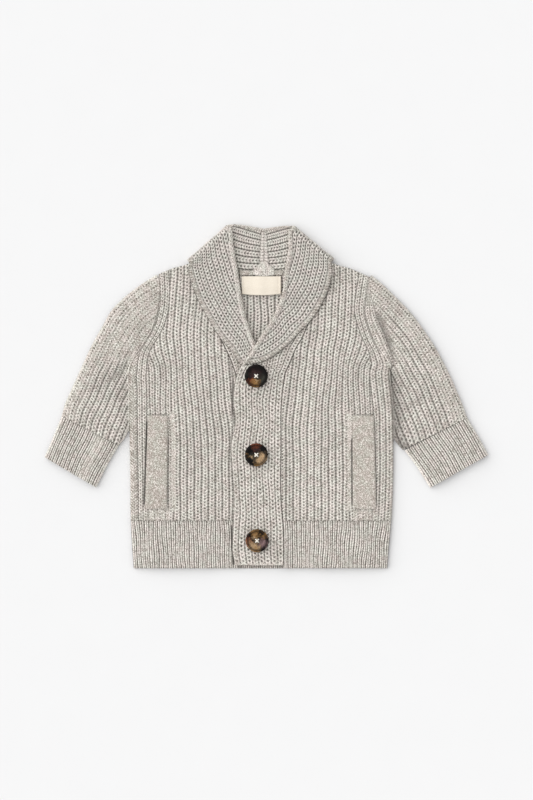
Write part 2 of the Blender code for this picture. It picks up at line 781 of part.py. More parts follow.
# ---------------------------------------------------------------- sleeves and cuffs
def tube_top(across, width, height):
    """The height of a flattened tube's upper side, at a distance from its outer edge."""
    edge = min(across, width - across)
    reach = min(TUBE_ROUND, width / 2)
    rounded = math.sqrt(max(0.0, 1 - (1 - min(edge / reach, 1.0)) ** 2))
    return TUBE_EDGE_HEIGHT + (height - TUBE_EDGE_HEIGHT) * rounded


def tube_rows(outer, inner, height, distances, relief):
    """The four lines of points of one section: outside top and underside, inside top and underside."""
    outer, inner = np.array(outer, float), np.array(inner, float)
    width = np.linalg.norm(inner - outer)
    along = (inner - outer) / width

    def at(distance, z):
        place = outer + along * distance
        return (place[0], place[1], z)

    top = []
    for distance in distances(width):
        on_edge = distance in (0.0, width)
        drop = 0.0 if on_edge else relief(distance)
        top.append(at(distance, tube_top(distance, width, height) - drop))
    under = [at(0.0, TUBE_EDGE_HEIGHT)]
    under += [at(d, 0.0) for d in even(UNDER_ROUND, width - UNDER_ROUND, 6)]
    under += [at(width, TUBE_EDGE_HEIGHT)]
    inside = even(WALL, width - WALL, 8)
    ceiling = [
        at(d, max(tube_top(d, width, height) - WALL, WALL + SEAM_GAP)) for d in inside
    ]
    middle = WALL + SEAM_GAP / 2
    ceiling[0], ceiling[-1] = at(inside[0], middle), at(inside[-1], middle)
    floor = [at(d, WALL) for d in inside]
    floor[0], floor[-1] = at(inside[0], middle), at(inside[-1], middle)
    return top, under, ceiling, floor


def sleeve(side, material):
    sign = SIDES[side]
    rows = SLEEVE[side]

    def inner_x(y):
        if y >= SIDE_CONTACT:
            return read(BODY_EDGE, "y", side, y) + sign * CURVED_SEAM_GAP
        return read(SLEEVE_INNER[side], "y", "x", y)

    places = columns_between(0.0, SLEEVE_REACH, SLEEVE_RIB, 0.0)

    def distances(width):
        return clamp_columns(places, 0.0, width)[:-1] + [width]

    def relief(distance):
        return rib(distance, SLEEVE_RIB)

    skins = ([], [], [], [])
    for at in even(0.0, 1.0, 17):
        outer = (read(rows, "section", "outer_x", at), read(rows, "section", "outer_y", at))
        inner_y = read(rows, "section", "inner_y", at)
        swell = ease(at / SLEEVE_SWELLS_BY)
        sink = ease((at - SLEEVE_SINKS_FROM) / (1 - SLEEVE_SINKS_FROM))
        height = ARMHOLE_HEIGHT + (SLEEVE_HEIGHT - ARMHOLE_HEIGHT) * swell
        height += (CUFF_HEIGHT - SLEEVE_HEIGHT) * sink
        lines = tube_rows(outer, (inner_x(inner_y), inner_y), height, distances, relief)
        for gathered, line in zip(skins, lines):
            gathered.append(line)
    return tube(f"sleeve_{side}", *skins, material)


def cuff(side, material):
    rows = CUFF[side]
    count = 2 * round(CUFF_WIDTH / FINE_RIB) + 1

    def distances(width):
        return [0.0] + even(EDGE_WIDTH, width - EDGE_WIDTH, count) + [width]

    skins = ([], [], [], [])
    for at in (0.0, 0.35, 0.7, 1.0):
        place = {name: read(rows, "section", name, at) for name in rows if name != "section"}
        outer = (place["outer_x"], place["outer_y"])
        inner = (place["inner_x"], place["inner_y"])
        step = math.dist(outer, inner) - 2 * EDGE_WIDTH

        def relief(distance):
            return RIB_DEPTH * (round((distance - EDGE_WIDTH) / step * (count - 1)) % 2)

        for gathered, line in zip(skins, tube_rows(outer, inner, CUFF_HEIGHT, distances, relief)):
            gathered.append(line)
    return tube(f"cuff_{side}", *skins, material)


# ---------------------------------------------------------------- welts, tape, label and buttons
def welt(side, material):
    sign = SIDES[side]
    edges = WELT[side]
    top, under = [], []
    for part in even(0.0, 1.0, 9):
        y = WELT_HEIGHTS[0] + (WELT_HEIGHTS[1] - WELT_HEIGHTS[0]) * part
        inner = edges["inner"][0] + (edges["inner"][1] - edges["inner"][0]) * part
        outer = edges["outer"][0] + (edges["outer"][1] - edges["outer"][0]) * part
        inside = even(inner + sign * EDGE_WIDTH, outer - sign * EDGE_WIDTH, 5)
        base = [(x, front_base(x, y, side) + LAYER) for x in [inner] + inside + [outer]]
        on_end = part in (0.0, 1.0)
        drops = [WELT_EDGE_DROP] + [WELT_EDGE_DROP * on_end] * 5 + [WELT_EDGE_DROP]
        top.append([(x, y, z + WELT_THICK - drop) for (x, z), drop in zip(base, drops)])
        under.append([(x, y, z) for x, z in base])
    return sheet(f"welt_{side}", top, under, material)


def back_top(x, y):
    return back_rise(x, y) + LAYER


def neck_tape(material):
    """The tape over the back neck seam, as far as it shows between the collar's two rolls."""
    top, under = [], []
    for part in even(0.0, 1.0, 3):
        line = []
        for x in even(TAPE["right"], TAPE["left"], 9):
            y = TAPE["bottom"] + (TAPE["top"] - TAPE["bottom"]) * part
            line.append((x, y, back_top(x, y)))
        under.append(line)
        top.append([(x, y, z + TAPE["thick"]) for x, y, z in line])
    return sheet("neck_tape", top, under, material)


def label(material):
    """A woven label, sewn on at its two ends and bowed a little between them."""
    top, under = [], []
    for part in even(0.0, 1.0, 5):
        line = []
        for x in even(LABEL["right"], LABEL["left"], 11):
            y = LABEL["bottom"] + (LABEL["top"] - LABEL["bottom"]) * part
            width = LABEL["left"] - LABEL["right"]
            bow = LABEL["bow"] * math.sin(math.pi * (x - LABEL["right"]) / width)
            line.append((x, y, max(back_top(x, y), back_top(x, y + LABEL_REACH)) + bow))
        under.append(line)
        top.append([(x, y, z + LABEL["thick"]) for x, y, z in line])
    return sheet("label", top, under, material)


def button(name, centre, material):
    """A turned button with a raised rim and four holes, lying on the left band."""
    mesh = bmesh.new()
    profile = [
        mesh.verts.new((radius, 0.0, z))
        for radius, z in zip(BUTTON_PROFILE["radius"], BUTTON_PROFILE["z"])
    ]
    edges = [mesh.edges.new(pair) for pair in zip(profile, profile[1:])]
    bmesh.ops.spin(
        mesh,
        geom=profile + edges,
        cent=(0, 0, 0),
        axis=(0, 0, 1),
        angle=math.tau,
        steps=BUTTON_SEGMENTS,
        use_merge=True,
    )
    piece = finish(mesh, f"button_{name}", material)
    cutters = []
    for quarter in range(4):
        angle = math.radians(45 + 90 * quarter)
        cutter = bmesh.new()
        bmesh.ops.create_cone(
            cutter,
            cap_ends=True,
            segments=HOLE_SEGMENTS,
            radius1=HOLE_RADIUS,
            radius2=HOLE_RADIUS,
            depth=HOLE_CUTTER_LENGTH,
        )
        offset = (HOLE_OFFSET * math.cos(angle), HOLE_OFFSET * math.sin(angle), 0)
        bmesh.ops.translate(cutter, verts=cutter.verts, vec=offset)
        hole = finish(cutter, f"hole_{name}_{quarter}", material)
        hole.hide_render = True
        hole.display_type = "WIRE"
        cutters.append(hole)
        cut = piece.modifiers.new("hole", "BOOLEAN")
        cut.operation = "DIFFERENCE"
        cut.object = hole
    ring = [
        (centre[0] + BUTTON_RADIUS * math.cos(a), centre[1] + BUTTON_RADIUS * math.sin(a))
        for a in even(0.0, math.tau, BUTTON_SEGMENTS + 1)
    ]
    seat = max(strip_base(x, y, "left") for x, y in ring + [centre]) + LAYER
    for moved in [piece] + cutters:
        moved.location = (centre[0], centre[1], seat)
    return piece


# ---------------------------------------------------------------- the garment
def matt(name, colour, roughness):
    material = bpy.data.materials.new(name)
    material.use_nodes = True
    shader = material.node_tree.nodes["Principled BSDF"]
    shader.inputs["Base Color"].default_value = colour
    shader.inputs["Roughness"].default_value = roughness
    shader.inputs["Metallic"].default_value = 0.0
    return material


def place_in_metres():
    """Moves the origin under the middle of the whole garment and scales everything to metres."""
    bpy.context.view_layer.update()
    pieces = [piece for piece in bpy.context.scene.objects if piece.type == "MESH"]
    shown = [piece for piece in pieces if not piece.hide_render]
    corners = np.array([piece.matrix_world @ v.co for piece in shown for v in piece.data.vertices])
    low, high = corners.min(axis=0), corners.max(axis=0)
    origin = bpy.data.objects.new("garment", None)
    bpy.context.scene.collection.objects.link(origin)
    for piece in pieces:
        piece.parent = origin
    origin.scale = (MM, MM, MM)
    origin.location = (-(low[0] + high[0]) / 2 * MM, -(low[1] + high[1]) / 2 * MM, -low[2] * MM)


def main():
    for left_over in list(bpy.data.objects):
        bpy.data.objects.remove(left_over)
    knit = matt("heather_knit", KNIT, 0.95)
    knit_under = matt("heather_knit_under", KNIT_UNDER, 0.95)
    cream = matt("cream_tape", CREAM, 0.85)
    tortoiseshell = matt("tortoiseshell", TORTOISESHELL, 0.25)

    back(knit_under)
    back_hem(knit_under)
    for side in SIDES:
        front(side, knit)
        front_hem(side, knit)
        sleeve(side, knit)
        cuff(side, knit)
        collar(side, knit)
        welt(side, knit)
    bands(knit, knit_under)
    neck_tape(knit)
    label(cream)
    for name, centre in BUTTONS.items():
        button(name, centre, tortoiseshell)
    place_in_metres()


main()
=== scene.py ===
"""The looks of a baby's shawl-collar cardigan in heathered ribbed knit, laid flat and buttoned.

Each knit piece is a thin closed wall on the form of its solid, with every stitch raised in its
outer face. Left and right are the wearer's. Sizes are in millimetres in the garment's own frame:
x runs across from the centre line with +x to the wearer's left, y up from the bottom of the hem,
z up from the surface that the cardigan lies on. Pieces move to the row frame as they are made.
"""

import math

import bmesh
import bpy
import numpy as np
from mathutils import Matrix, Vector


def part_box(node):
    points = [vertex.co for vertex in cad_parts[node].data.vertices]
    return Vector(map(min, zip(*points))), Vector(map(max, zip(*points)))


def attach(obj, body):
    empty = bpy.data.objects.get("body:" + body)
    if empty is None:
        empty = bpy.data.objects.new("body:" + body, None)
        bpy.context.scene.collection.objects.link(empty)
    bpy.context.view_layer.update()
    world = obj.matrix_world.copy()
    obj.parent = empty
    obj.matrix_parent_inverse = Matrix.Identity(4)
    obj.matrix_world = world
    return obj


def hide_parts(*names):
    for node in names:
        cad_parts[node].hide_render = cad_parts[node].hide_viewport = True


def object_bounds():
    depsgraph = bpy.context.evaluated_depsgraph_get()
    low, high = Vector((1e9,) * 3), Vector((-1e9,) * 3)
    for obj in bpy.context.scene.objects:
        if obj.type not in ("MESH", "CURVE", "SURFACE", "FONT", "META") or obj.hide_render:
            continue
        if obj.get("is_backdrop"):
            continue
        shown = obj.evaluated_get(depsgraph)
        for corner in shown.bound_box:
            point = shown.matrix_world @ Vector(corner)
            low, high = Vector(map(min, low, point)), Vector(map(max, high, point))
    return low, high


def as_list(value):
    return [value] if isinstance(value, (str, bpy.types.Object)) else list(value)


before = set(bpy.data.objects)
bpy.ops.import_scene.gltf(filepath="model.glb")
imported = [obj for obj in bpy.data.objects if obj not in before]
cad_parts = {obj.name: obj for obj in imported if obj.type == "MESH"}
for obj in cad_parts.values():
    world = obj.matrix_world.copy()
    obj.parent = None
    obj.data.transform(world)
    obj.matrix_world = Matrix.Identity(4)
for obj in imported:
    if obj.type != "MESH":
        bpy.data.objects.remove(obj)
cad_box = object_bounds()

MM = 0.001

# ---------------------------------------------------------------- cloth
WALL = 2.4
LAYER = WALL + 0.3
SEAM_GAP = 0.03
PUFF = 1.8
PUFF_FROM_SIDE = 24.0
PUFF_SEAM_FLAT = 8.0
PUFF_FROM_SEAM = 26.0
PUFF_TOP = 262.0
PUFF_FROM_TOP = 60.0
PUFF_FROM_HEM = 30.0

# How a piece's outer face rounds down to an edge, and how dark the painted shade along the edge is.
FREE = dict(drop=1.5, dark=0.0, width=1.5)
ON_CLOTH = dict(drop=1.5, dark=0.9, width=1.3)
SEAM = dict(drop=1.0, dark=0.65, width=1.0)
SOFT_SEAM = dict(drop=0.35, dark=0.4, width=0.8)
JOIN = dict(drop=0.1, dark=0.0, width=0.8)
HEM_END = dict(drop=1.4, dark=0.0, width=1.5)
SIDE_FOLD = dict(drop=2.0, dark=0.0, width=4.0)
ARMHOLE = {
    "right": dict(drop=0.25, dark=0.45, width=0.8),
    "left": dict(drop=0.25, dark=0.75, width=0.8),
}
TUBE_END = dict(drop=0.1, dark=0.0, width=0.8)
TURN_EDGE = dict(drop=2.0, dark=0.0, width=7.0)
CENTRE_EDGE = dict(drop=0.4, dark=0.35, width=0.8)
TAPE_EDGE = dict(drop=0.5, dark=0.5, width=0.8)
DEEPEST = 2.0
EDGE_WIDTH = 1.5
EDGE_STEPS = np.array([0.0, 0.35, 0.85])
LINE_WIDTH = 0.6

COLUMN = 0.62
ROWS_PER_STITCH = 5

# Slow unevenness, of faces in height and of ribs in place: how much, and over how many millimetres.
UNEVEN = {
    "face": (0.25, 30),
    "hem_face": (0.2, 20),
    "tube_face": (0.25, 26),
    "front_ribs": (0.5, 26),
    "inside_ribs": (0.6, 22),
    "hem_ribs": (0.12, 18),
    "band_ribs": (0.08, 18),
    "collar_ribs": (0.07, 17),
    "tube_ribs": (0.1, 24),
    "hem_ribbing": (0.14, 18),
}
HEM_RIBBING = 0.95
HEM_RIBBING_LEAST = 0.75

# Each kind of knit: width of a rib and height of a row; depth of the valleys between ribs, of the
# eye in the middle of each stitch and of the gap between two stitches on a leg, which also set the
# painted shade in each; how far each leg of a stitch climbs as it leaves the middle, in rows for a
# whole rib; how far from the middle a valley starts, half the width of an eye in ribs and half its
# length in rows; how much paler the yarn is; how evenly the painted shade lies along the valleys;
# and how much the legs' tones differ.
KNITS = {
    name: dict(zip("rib row valley eye bead slant start open length pale even mix".split(), sizes))
    for name, sizes in {
        "body": (6.65, 2.85, 1.50, 1.30, 0.50, 1.4, 0.25, 0.115, 0.27, 0.8, 0.0, 1.0),
        "inside": (6.65, 2.85, 1.60, 1.20, 0.60, 1.2, 0.22, 0.130, 0.30, 2.0, 0.3, 1.0),
        "band": (5.80, 3.56, 1.40, 1.60, 0.50, 1.2, 0.34, 0.150, 0.25, 0.7, 0.4, 1.0),
        "sleeve": (6.20, 2.85, 1.50, 1.20, 0.50, 1.4, 0.23, 0.115, 0.27, 0.7, 0.0, 1.0),
        "collar": (5.10, 3.50, 2.10, 2.10, 0.70, 1.2, 0.24, 0.165, 0.28, 3.8, 0.0, 1.0),
        "stand": (6.30, 2.75, 2.00, 1.30, 0.80, 1.3, 0.28, 0.115, 0.31, 2.8, 0.7, 1.2),
        "fine": (4.20, 2.50, 1.80, 0.66, 0.30, 1.4, 0.29, 0.083, 3.00, 1.2, 1.0, 1.2),
        "jersey": (2.00, 1.90, 0.10, 0.25, 0.35, 1.6, 0.30, 0.100, 0.25, -1.1, 0.0, 0.8),
        "chevron": (7.00, 2.85, 0.40, 0.40, 1.30, 2.4, 0.42, 0.060, 0.40, 0.1, 0.0, 1.6),
    }.items()
}

# ---------------------------------------------------------------- body
HEM_SEAM = 45.0
FRONT_HEM_BOTTOM = 0.1
BACK_HEM_BOTTOM = -0.3
HEM_RIBS = 24
BACK_HEM_RIBS = 58
CENTRE_BACK = 2.9
SHEAR_FROM = 200.0
SHOULDER_ROW = 277.0
FRONT_REACH = (19.0, 127.0)
BACK_REACH = {"body": 127, "fine": 130}
FINE_FROM = 186.0
# Where the back's inner face shows in the neck opening.
NECK_REACH = 30
NECK_BOTTOM = 188
# The faces underneath: how much of the relief and of the creases they keep, the most that they are
# raised on the body and on a tube, how they round up at a side, and how far at an end.
UNDER_RELIEF = 0.6
UNDER_CREASES = 0.4
UNDER_RISE = 1.5
UNDER_RISE_TUBE = 1.2
UNDER_SIDE = dict(drop=1.2, width=4.0)
UNDER_END = 0.5
# Ribs that follow the armhole and the side, from the side inwards: a plain strip, which the
# armhole hardly has, then two ribs: their widths at the armhole, then at each side.
PLAIN_SIDE = {"armhole": 0.9, "right": 7.6, "left": 6.8}
SIDE_RIBS = {"armhole": 9.0, "right": 9.2, "left": 11.6}
PLAIN_SIDE_FROM = (212.0, 186.0)
# The numbers of the first of these two ribs and of the plain strip, past those of all others.
ARMHOLE_RIB = 30
STRIP_RIB = 33.02
# The valley between the front's own ribs and those two, and its painted shade.
TURN_LINE = dict(depth=0.8, dark=0.5, width=0.8)
STRIP_KNIT = {"right": "chevron", "left": "body"}
# Below these heights the sleeve has left the side.
SLEEVE_LEAVES = {"right": 138.0, "left": 200.0}
PLAIN_BY_WELT = ((79.5, 88.0, 52.0, 150.0), (86.0, 112.0, 30.0, 58.0))

# The valley beside the band on each front, and the width of a rib. The ribs past the ninth are
# closer together below the armhole.
RIBS_FROM = {"right": (23.3, 6.62), "left": (23.8, 6.72)}
NEAR_RIB, FAR_RIB = 4, 9
CLOSE_RIB = (5.1, 6.3)
CLOSE_RIB_TO = (190.0, 207.0)


def table(columns, *rows):
    """A table as one array for each named column."""
    return dict(zip(columns.split(), np.array(rows, float).T))


BODY_EDGE = table(
    "y right left",
    (-1, -120.7, 119.7), (22, -122.3, 121.4), (45, -123.5, 123.6), (82, -124.0, 125.3),
    (127, -124.7, 125.3), (150, -124.9, 124.7), (168, -125.0, 122.9), (186, -125.3, 121.4),
    (192, -123.9, 121.9), (202, -118.8, 115.8), (212.5, -111.3, 108.4), (226, -103.0, 102.6),
    (241, -98.0, 98.6), (259, -96.3, 100.1), (278, -97.3, 103.4),
)
TOP_EDGE = table(
    "x y",
    (0, 283.0), (20, 283.6), (40, 288.6), (54, 296.6), (57, 297.6), (61, 294.4), (67, 289.6),
    (73, 287.2), (82, 285.0), (92, 281.2), (100, 277.6), (108, 274.5),
)
NECK_SEAM = table(
    "y right left",
    (-1, -22.0, 21.8), (37, -22.0, 21.3), (65, -22.2, 19.2), (118, -22.3, 19.2), (160, -22.3, 19.7),
    (175, -22.5, 21.4), (185, -24.3, 23.0), (194, -27.3, 27.1), (208, -33.5, 33.0),
    (218, -38.6, 38.8), (228, -42.8, 43.2), (243, -48.5, 48.5), (262, -53.0, 53.0),
    (280, -56.0, 56.0), (298, -57.0, 57.0),
)
BAND_EDGE = table(
    "y x",
    (3, -24.7), (15, -27.0), (34, -26.7), (65, -25.6), (95, -27.4), (117, -28.4), (139, -24.5),
    (160, -26.1), (176, -24.6), (190, -20.0), (194, -17.5),
)
# How far the ribs lean out from their places at the hem: the four near the band, and the ninth.
RIB_LEAN = {
    "right": table(
        "y near far",
        (120, 0.0, 0.0), (136, 1.2, 0.8), (150, 2.8, 1.6), (164, 4.4, 2.2), (179, 5.7, 2.4),
        (193, 6.7, 3.0), (207, 7.3, 4.8), (221, 7.5, 6.5), (236, 6.5, 5.2), (250, 5.2, 4.2),
        (264, 3.8, 3.6), (280, 3.0, 3.0),
    ),
    "left": table(
        "y near far",
        (120, 0.0, 0.0), (136, 0.0, 0.0), (150, 0.9, -1.0), (164, 2.5, -1.4), (179, 4.2, -1.6),
        (193, 6.0, -0.8), (207, 6.9, 2.6), (221, 9.1, 5.8), (236, 10.3, 6.8), (250, 11.0, 7.4),
        (264, 12.0, 8.2), (280, 12.5, 8.6),
    ),
}
UNDER_BAND_EDGE = 18.6
UNDER_BAND_INSET = 14.0
UNDER_BAND_CURVE = 40.0
BAND_BOTTOM = 3.0
BAND_HIGHEST = 188.0
BAND_RIBS = 8
BAND_SLANT_FROM = 150.0
BAND_TOP = {"left": (186.42, 195.35), "right": (182.6, 188.4)}

# ---------------------------------------------------------------- collar
COLLAR_FRONT = {
    "left": table(
        "section seam_y roll_x roll_y free_x free_y",
        (0.00, 186.5, -17.0, 195.5, -15.5, 193.0), (0.10, 191.0, -12.0, 201.5, -7.5, 193.6),
        (0.20, 198.0, -5.9, 211.0, 1.0, 195.3), (0.32, 208.0, 2.0, 224.0, 13.0, 201.7),
        (0.44, 218.5, 9.2, 234.7, 25.7, 211.8), (0.56, 230.0, 14.9, 246.5, 37.3, 224.2),
        (0.67, 243.0, 19.6, 258.7, 48.5, 236.0), (0.78, 258.0, 21.2, 271.0, 57.8, 250.5),
        (0.90, 275.0, 23.0, 286.5, 64.6, 266.5), (1.00, 289.0, 26.0, 303.0, 67.5, 279.5),
    ),
    "right": table(
        "section seam_y roll_x roll_y free_x free_y",
        (0.00, 184.0, 4.0, 191.0, 1.0, 188.0), (0.10, 190.0, -0.5, 201.5, -9.5, 188.5),
        (0.20, 197.5, -5.5, 213.3, -19.2, 192.5), (0.32, 208.0, -9.5, 224.5, -28.3, 206.0),
        (0.44, 218.5, -13.0, 235.0, -38.6, 217.8), (0.56, 230.0, -16.0, 246.0, -47.0, 231.0),
        (0.67, 243.0, -18.3, 257.5, -54.6, 244.0), (0.78, 258.0, -20.2, 270.5, -60.8, 256.0),
        (0.90, 275.0, -22.4, 286.5, -66.3, 271.0), (1.00, 289.0, -25.8, 303.0, -69.2, 282.0),
    ),
}
COLLAR_TURN = {
    "left": dict(seam=(56.2, 298.7), roll=(27.5, 319.6), free=(66.8, 289.9)),
    "right": dict(seam=(-56.2, 299.0), roll=(-29.0, 320.6), free=(-67.3, 288.8)),
}
# Where the roll comes out behind the neck, and how far it stands up there.
ROLL_BEHIND = {"left": (27.35, 322.95), "right": (-26.65, 324.35)}
COLLAR_LIFT = 3.0
COLLAR_BACK = table(
    "section seam_x roll_x roll_y free_x free_y",
    (0.12, 50.5, 27.0, 326.2, 57.5, 283.6), (0.35, 40.0, 19.5, 325.4, 43.5, 279.3),
    (0.68, 20.0, 9.5, 323.8, 21.0, 275.2), (1.00, 0.0, 0.0, 322.2, 0.0, 273.8),
)
COLLAR_LOBE = {"right": 0.8, "left": -0.8}
HIDDEN_FALL_EDGE = table("x y", (0, 273.5), (20, 275), (40, 278), (55, 282), (67, 289), (76, 299))
RISE_START = 12.0
RISE_LENGTH = 6.0
FRONT_LEAD = 5.5
COLLAR_LEAD = 15.0
FALL_CLEARANCE = 0.2
PLAIN_EDGE = 5.0
ROLL_EDGE = 2.4
ROLL_CORNER = 3.2
STRIP_TONE = 0.6
# How much paler the roll is, on each side: partly its own paler yarn, partly painted light where it
# turns away from the lamp. Then how much painted shade its stitches keep, and how deep they are.
ROLL_PALENESS_AND_PAINTED_LIGHT = {"right": 1.7, "left": 0.8}
ROLL_SHADE = {"right": 0.7, "left": 0.8}
ROLL_DEPTH = 0.7
# The lines along the plain edge and along the roll: how deep, and how much painted shade, on each side.
PLAIN_LINE = {"depth": 0.7, "dark": 0.45}
ROLL_LINE = {"depth": 0.6, "right": 0.4, "left": 0.6}
ROLL_LINE_WIDTH = 0.7
STAND_TOP_TONE = 0.8
FALL_REACH, FALL_STEP = 56.0, 0.56
STAND_REACH, STAND_STEP = 46.0, 0.58
STAND_RIB = 5.7
STAND_RIBS = 6
STAND_DIP = 4.0
STAND_SHOWS_TO = 78.0
ROLL_COLUMNS = 13
# The seam at the centre back: how far it reaches aside, where its groove is, how far its puckers are
# apart, and how they lean.
CENTRE_SEAM = dict(half=3.6, groove=3.8, pucker=2.8, lean=0.12)

CROSS_FULL = 215.0
CROSS_END = 245.0
PLACKET_RAMP = 14.0
CORNER = (-8.0, 200.0)
CORNER_FULL = 21.0
CORNER_END = 44.0

# ---------------------------------------------------------------- sleeves
SLEEVE = {
    "right": table(
        "section outer_x outer_y inner_y",
        (0.00, -99.0, 278.4, 275.0), (0.08, -112.0, 270.3, 257.0), (0.16, -122.9, 262.4, 243.0),
        (0.24, -132.6, 254.2, 231.5), (0.33, -142.6, 243.5, 219.0), (0.42, -150.4, 229.5, 207.5),
        (0.52, -158.7, 215.0, 193.0), (0.62, -166.0, 200.0, 178.0), (0.72, -173.0, 184.5, 162.0),
        (0.82, -180.3, 168.5, 145.0), (0.91, -186.0, 155.5, 129.5), (1.00, -189.0, 144.2, 116.3),
    ),
    "left": table(
        "section outer_x outer_y inner_y",
        (0.00, 104.6, 278.0, 275.0), (0.08, 115.5, 269.0, 257.0), (0.16, 125.6, 259.3, 243.0),
        (0.24, 135.6, 249.3, 231.5), (0.33, 146.8, 236.4, 219.0), (0.42, 156.0, 223.7, 207.5),
        (0.52, 165.7, 209.0, 193.0), (0.62, 173.3, 194.8, 178.0), (0.72, 180.6, 180.0, 162.0),
        (0.82, 187.2, 164.7, 145.0), (0.91, 192.0, 153.0, 127.0), (1.00, 195.6, 142.6, 112.0),
    ),
}
SLEEVE_INNER = {
    "right": table("y x", (105, -143.0), (116.3, -135.2), (123, -129.8), (130, -126.2)),
    "left": table("y x", (100, 144.5), (112, 134.6), (118, 129.2), (123, 126.0)),
}
SIDE_CONTACT = {"right": 130.0, "left": 123.0}
SLEEVE_REACH = 82.0
SLEEVE_HEIGHT = 7.6
ARMHOLE_HEIGHT = 5.6
CUFF_HEIGHT = 6.4
SLEEVE_SWELLS_BY = 0.35
SLEEVE_SINKS_FROM = 0.75
TUBE_ROUND = 9.0
TUBE_EDGE_HEIGHT = 2.7
ARMHOLE_EDGE_HEIGHT = 5.0
ARMHOLE_FROM = {"right": (128.0, 150.0), "left": (176.0, 200.0)}
# How far the stitches fade beside the armhole, over what width, from what height, and the share of
# it for the ribs and for the eyes. Then the painted shade that the side casts on the sleeve: how
# much, over what width, and below what height.
CAP_FADES = {"right": 0.78, "left": 0.3}
CAP_REACH = {"right": 34.0, "left": 26.0}
CAP_FROM = 190.0
CAP_RIBS, CAP_EYES = 0.8, 0.15
SIDE_SHADE = {"right": 0.08, "left": 0.62}
SIDE_SHADE_WIDTH = 8.5
SIDE_SHADE_TOP = 192.0
# How far the ribs fade along the outer edge.
OUTSIDE_FADES = 0.45
OUTSIDE_REACH = 15.0
INNER_ROUND = 5.0
SEWN_ROUND = 16.0
UNDER_ROUND = 1.6
UNDER_ROUND_HEIGHT = 2.3
UNDER_STEPS = np.array([0.12, 0.6])
UNDER_ROW = 2.85
# Painted shade along a tube's outer edge, against the light its rounded rim catches: how much, and over
# what width.
EDGE_PAINTED_SHADE, EDGE_PAINTED_SHADE_WIDTH = 0.16, 3.0
CUFF_RIBS = {"right": 14, "left": 15}
CUFF_PLAIN = {"right": 0.4, "left": 0.0}
CUFF_PLAIN_BETWEEN = (0.6, 0.82)
CUFF = {
    "right": table(
        "section outer_x outer_y inner_x inner_y",
        (0.0, -189.05, 144.05, -135.35, 116.15), (0.5, -196.8, 125.2, -147.0, 95.8),
        (1.0, -205.2, 105.4, -156.3, 76.6),
    ),
    "left": table(
        "section outer_x outer_y inner_x inner_y",
        (0.0, 195.65, 142.5, 136.1, 111.9), (0.5, 206.4, 124.4, 148.8, 94.6),
        (1.0, 215.6, 107.6, 160.3, 76.4),
    ),
}

# ---------------------------------------------------------------- small pieces
WELT_HEIGHTS = (56.0, 145.0)
WELT = {
    "right": dict(outer=(-110.0, -107.1), inner=(-88.9, -87.9)),
    "left": dict(outer=(109.3, 107.1), inner=(86.9, 86.5)),
}
WELT_THICK = 1.6
WELT_GAP = 0.12
# The lines of painted shade along a welt, on the front: its edge, how dark, how wide, and between
# which heights. Each lies away from its edge by a share of its width.
MOUTH_DEPTH = 0.3
POCKET_LINE_AWAY = {"outer": 0.8, "inner": -0.8}
POCKET_LINES = {
    "right": (("outer", 1.0, 1.05, 57.0, 143.0), ("inner", 0.7, 0.5, 58.0, 121.0)),
    "left": (("outer", 0.9, 0.5, 57.0, 143.0), ("inner", 1.0, 0.8, 57.0, 126.0)),
}
TAPE = dict(left=20.6, right=-20.2, top=282.4, bottom=277.6, thick=0.9, wale=2.4)
LABEL = dict(left=18.9, right=-18.2, top=276.7, bottom=260.2, thick=0.6, bow=1.2)
LABEL_SLOPE = 1.2
LABEL_FOLD = 2.2
LABEL_SAG = 1.4
# The stitches along the label's ends: how far in, how far from its two sides, how far apart, and the
# length, height, thickness and points of each.
LABEL_STITCH = dict(inset=0.9, first=1.2, last=0.8, apart=1.7, long=1.1, points=5)
LABEL_STITCH.update(above=0.02, rise=0.22, radius=0.14)
SEAM_END = dict(half_width=10.0, top=290.0, bottom=277.8, rise=0.8)
WELT_WALES = 10
# A welt's edges: how each rounds down, and the painted shade along it.
WELT_EDGE = dict(drop=1.2, dark=0.35, width=1.2)
WELT_SLOPE = dict(drop=1.5, dark=0.2, width=2.8)
BUTTON_HOLE = 2.1
BUTTON_DISH = 1.3
BUTTON_FACE = 1.6
# The four strands in a button: how thick, how far beside the line between two holes, how far above
# the dish, how high each rises on the way, by pair, and how far down the holes they reach.
STRAND_RADIUS = 0.36
STRAND_ASIDE = 0.26
STRAND_ABOVE = 0.2
STRAND_RISES = ((0.50, 0.56), (0.95, 1.01))
STRAND_DEEP = 0.6
THREAD_SIDES = 8
BUTTONS = {"top": (-4.5, 182.2), "middle": (-4.3, 107.7), "bottom": (-3.7, 26.5)}
SIDES = {"right": -1, "left": 1}

# The colours of the buttons' plastic, and where each button is clouded with them: x, y, radius.
HORN = {
    "black": (0.007, 0.006, 0.006, 1),
    "umber": (0.050, 0.026, 0.026, 1),
    "moss": (0.045, 0.045, 0.035, 1),
    "rust": (0.300, 0.080, 0.035, 1),
    "gold": (0.400, 0.220, 0.080, 1),
    "tan": (0.620, 0.420, 0.240, 1),
    "mauve": (0.300, 0.190, 0.190, 1),
}
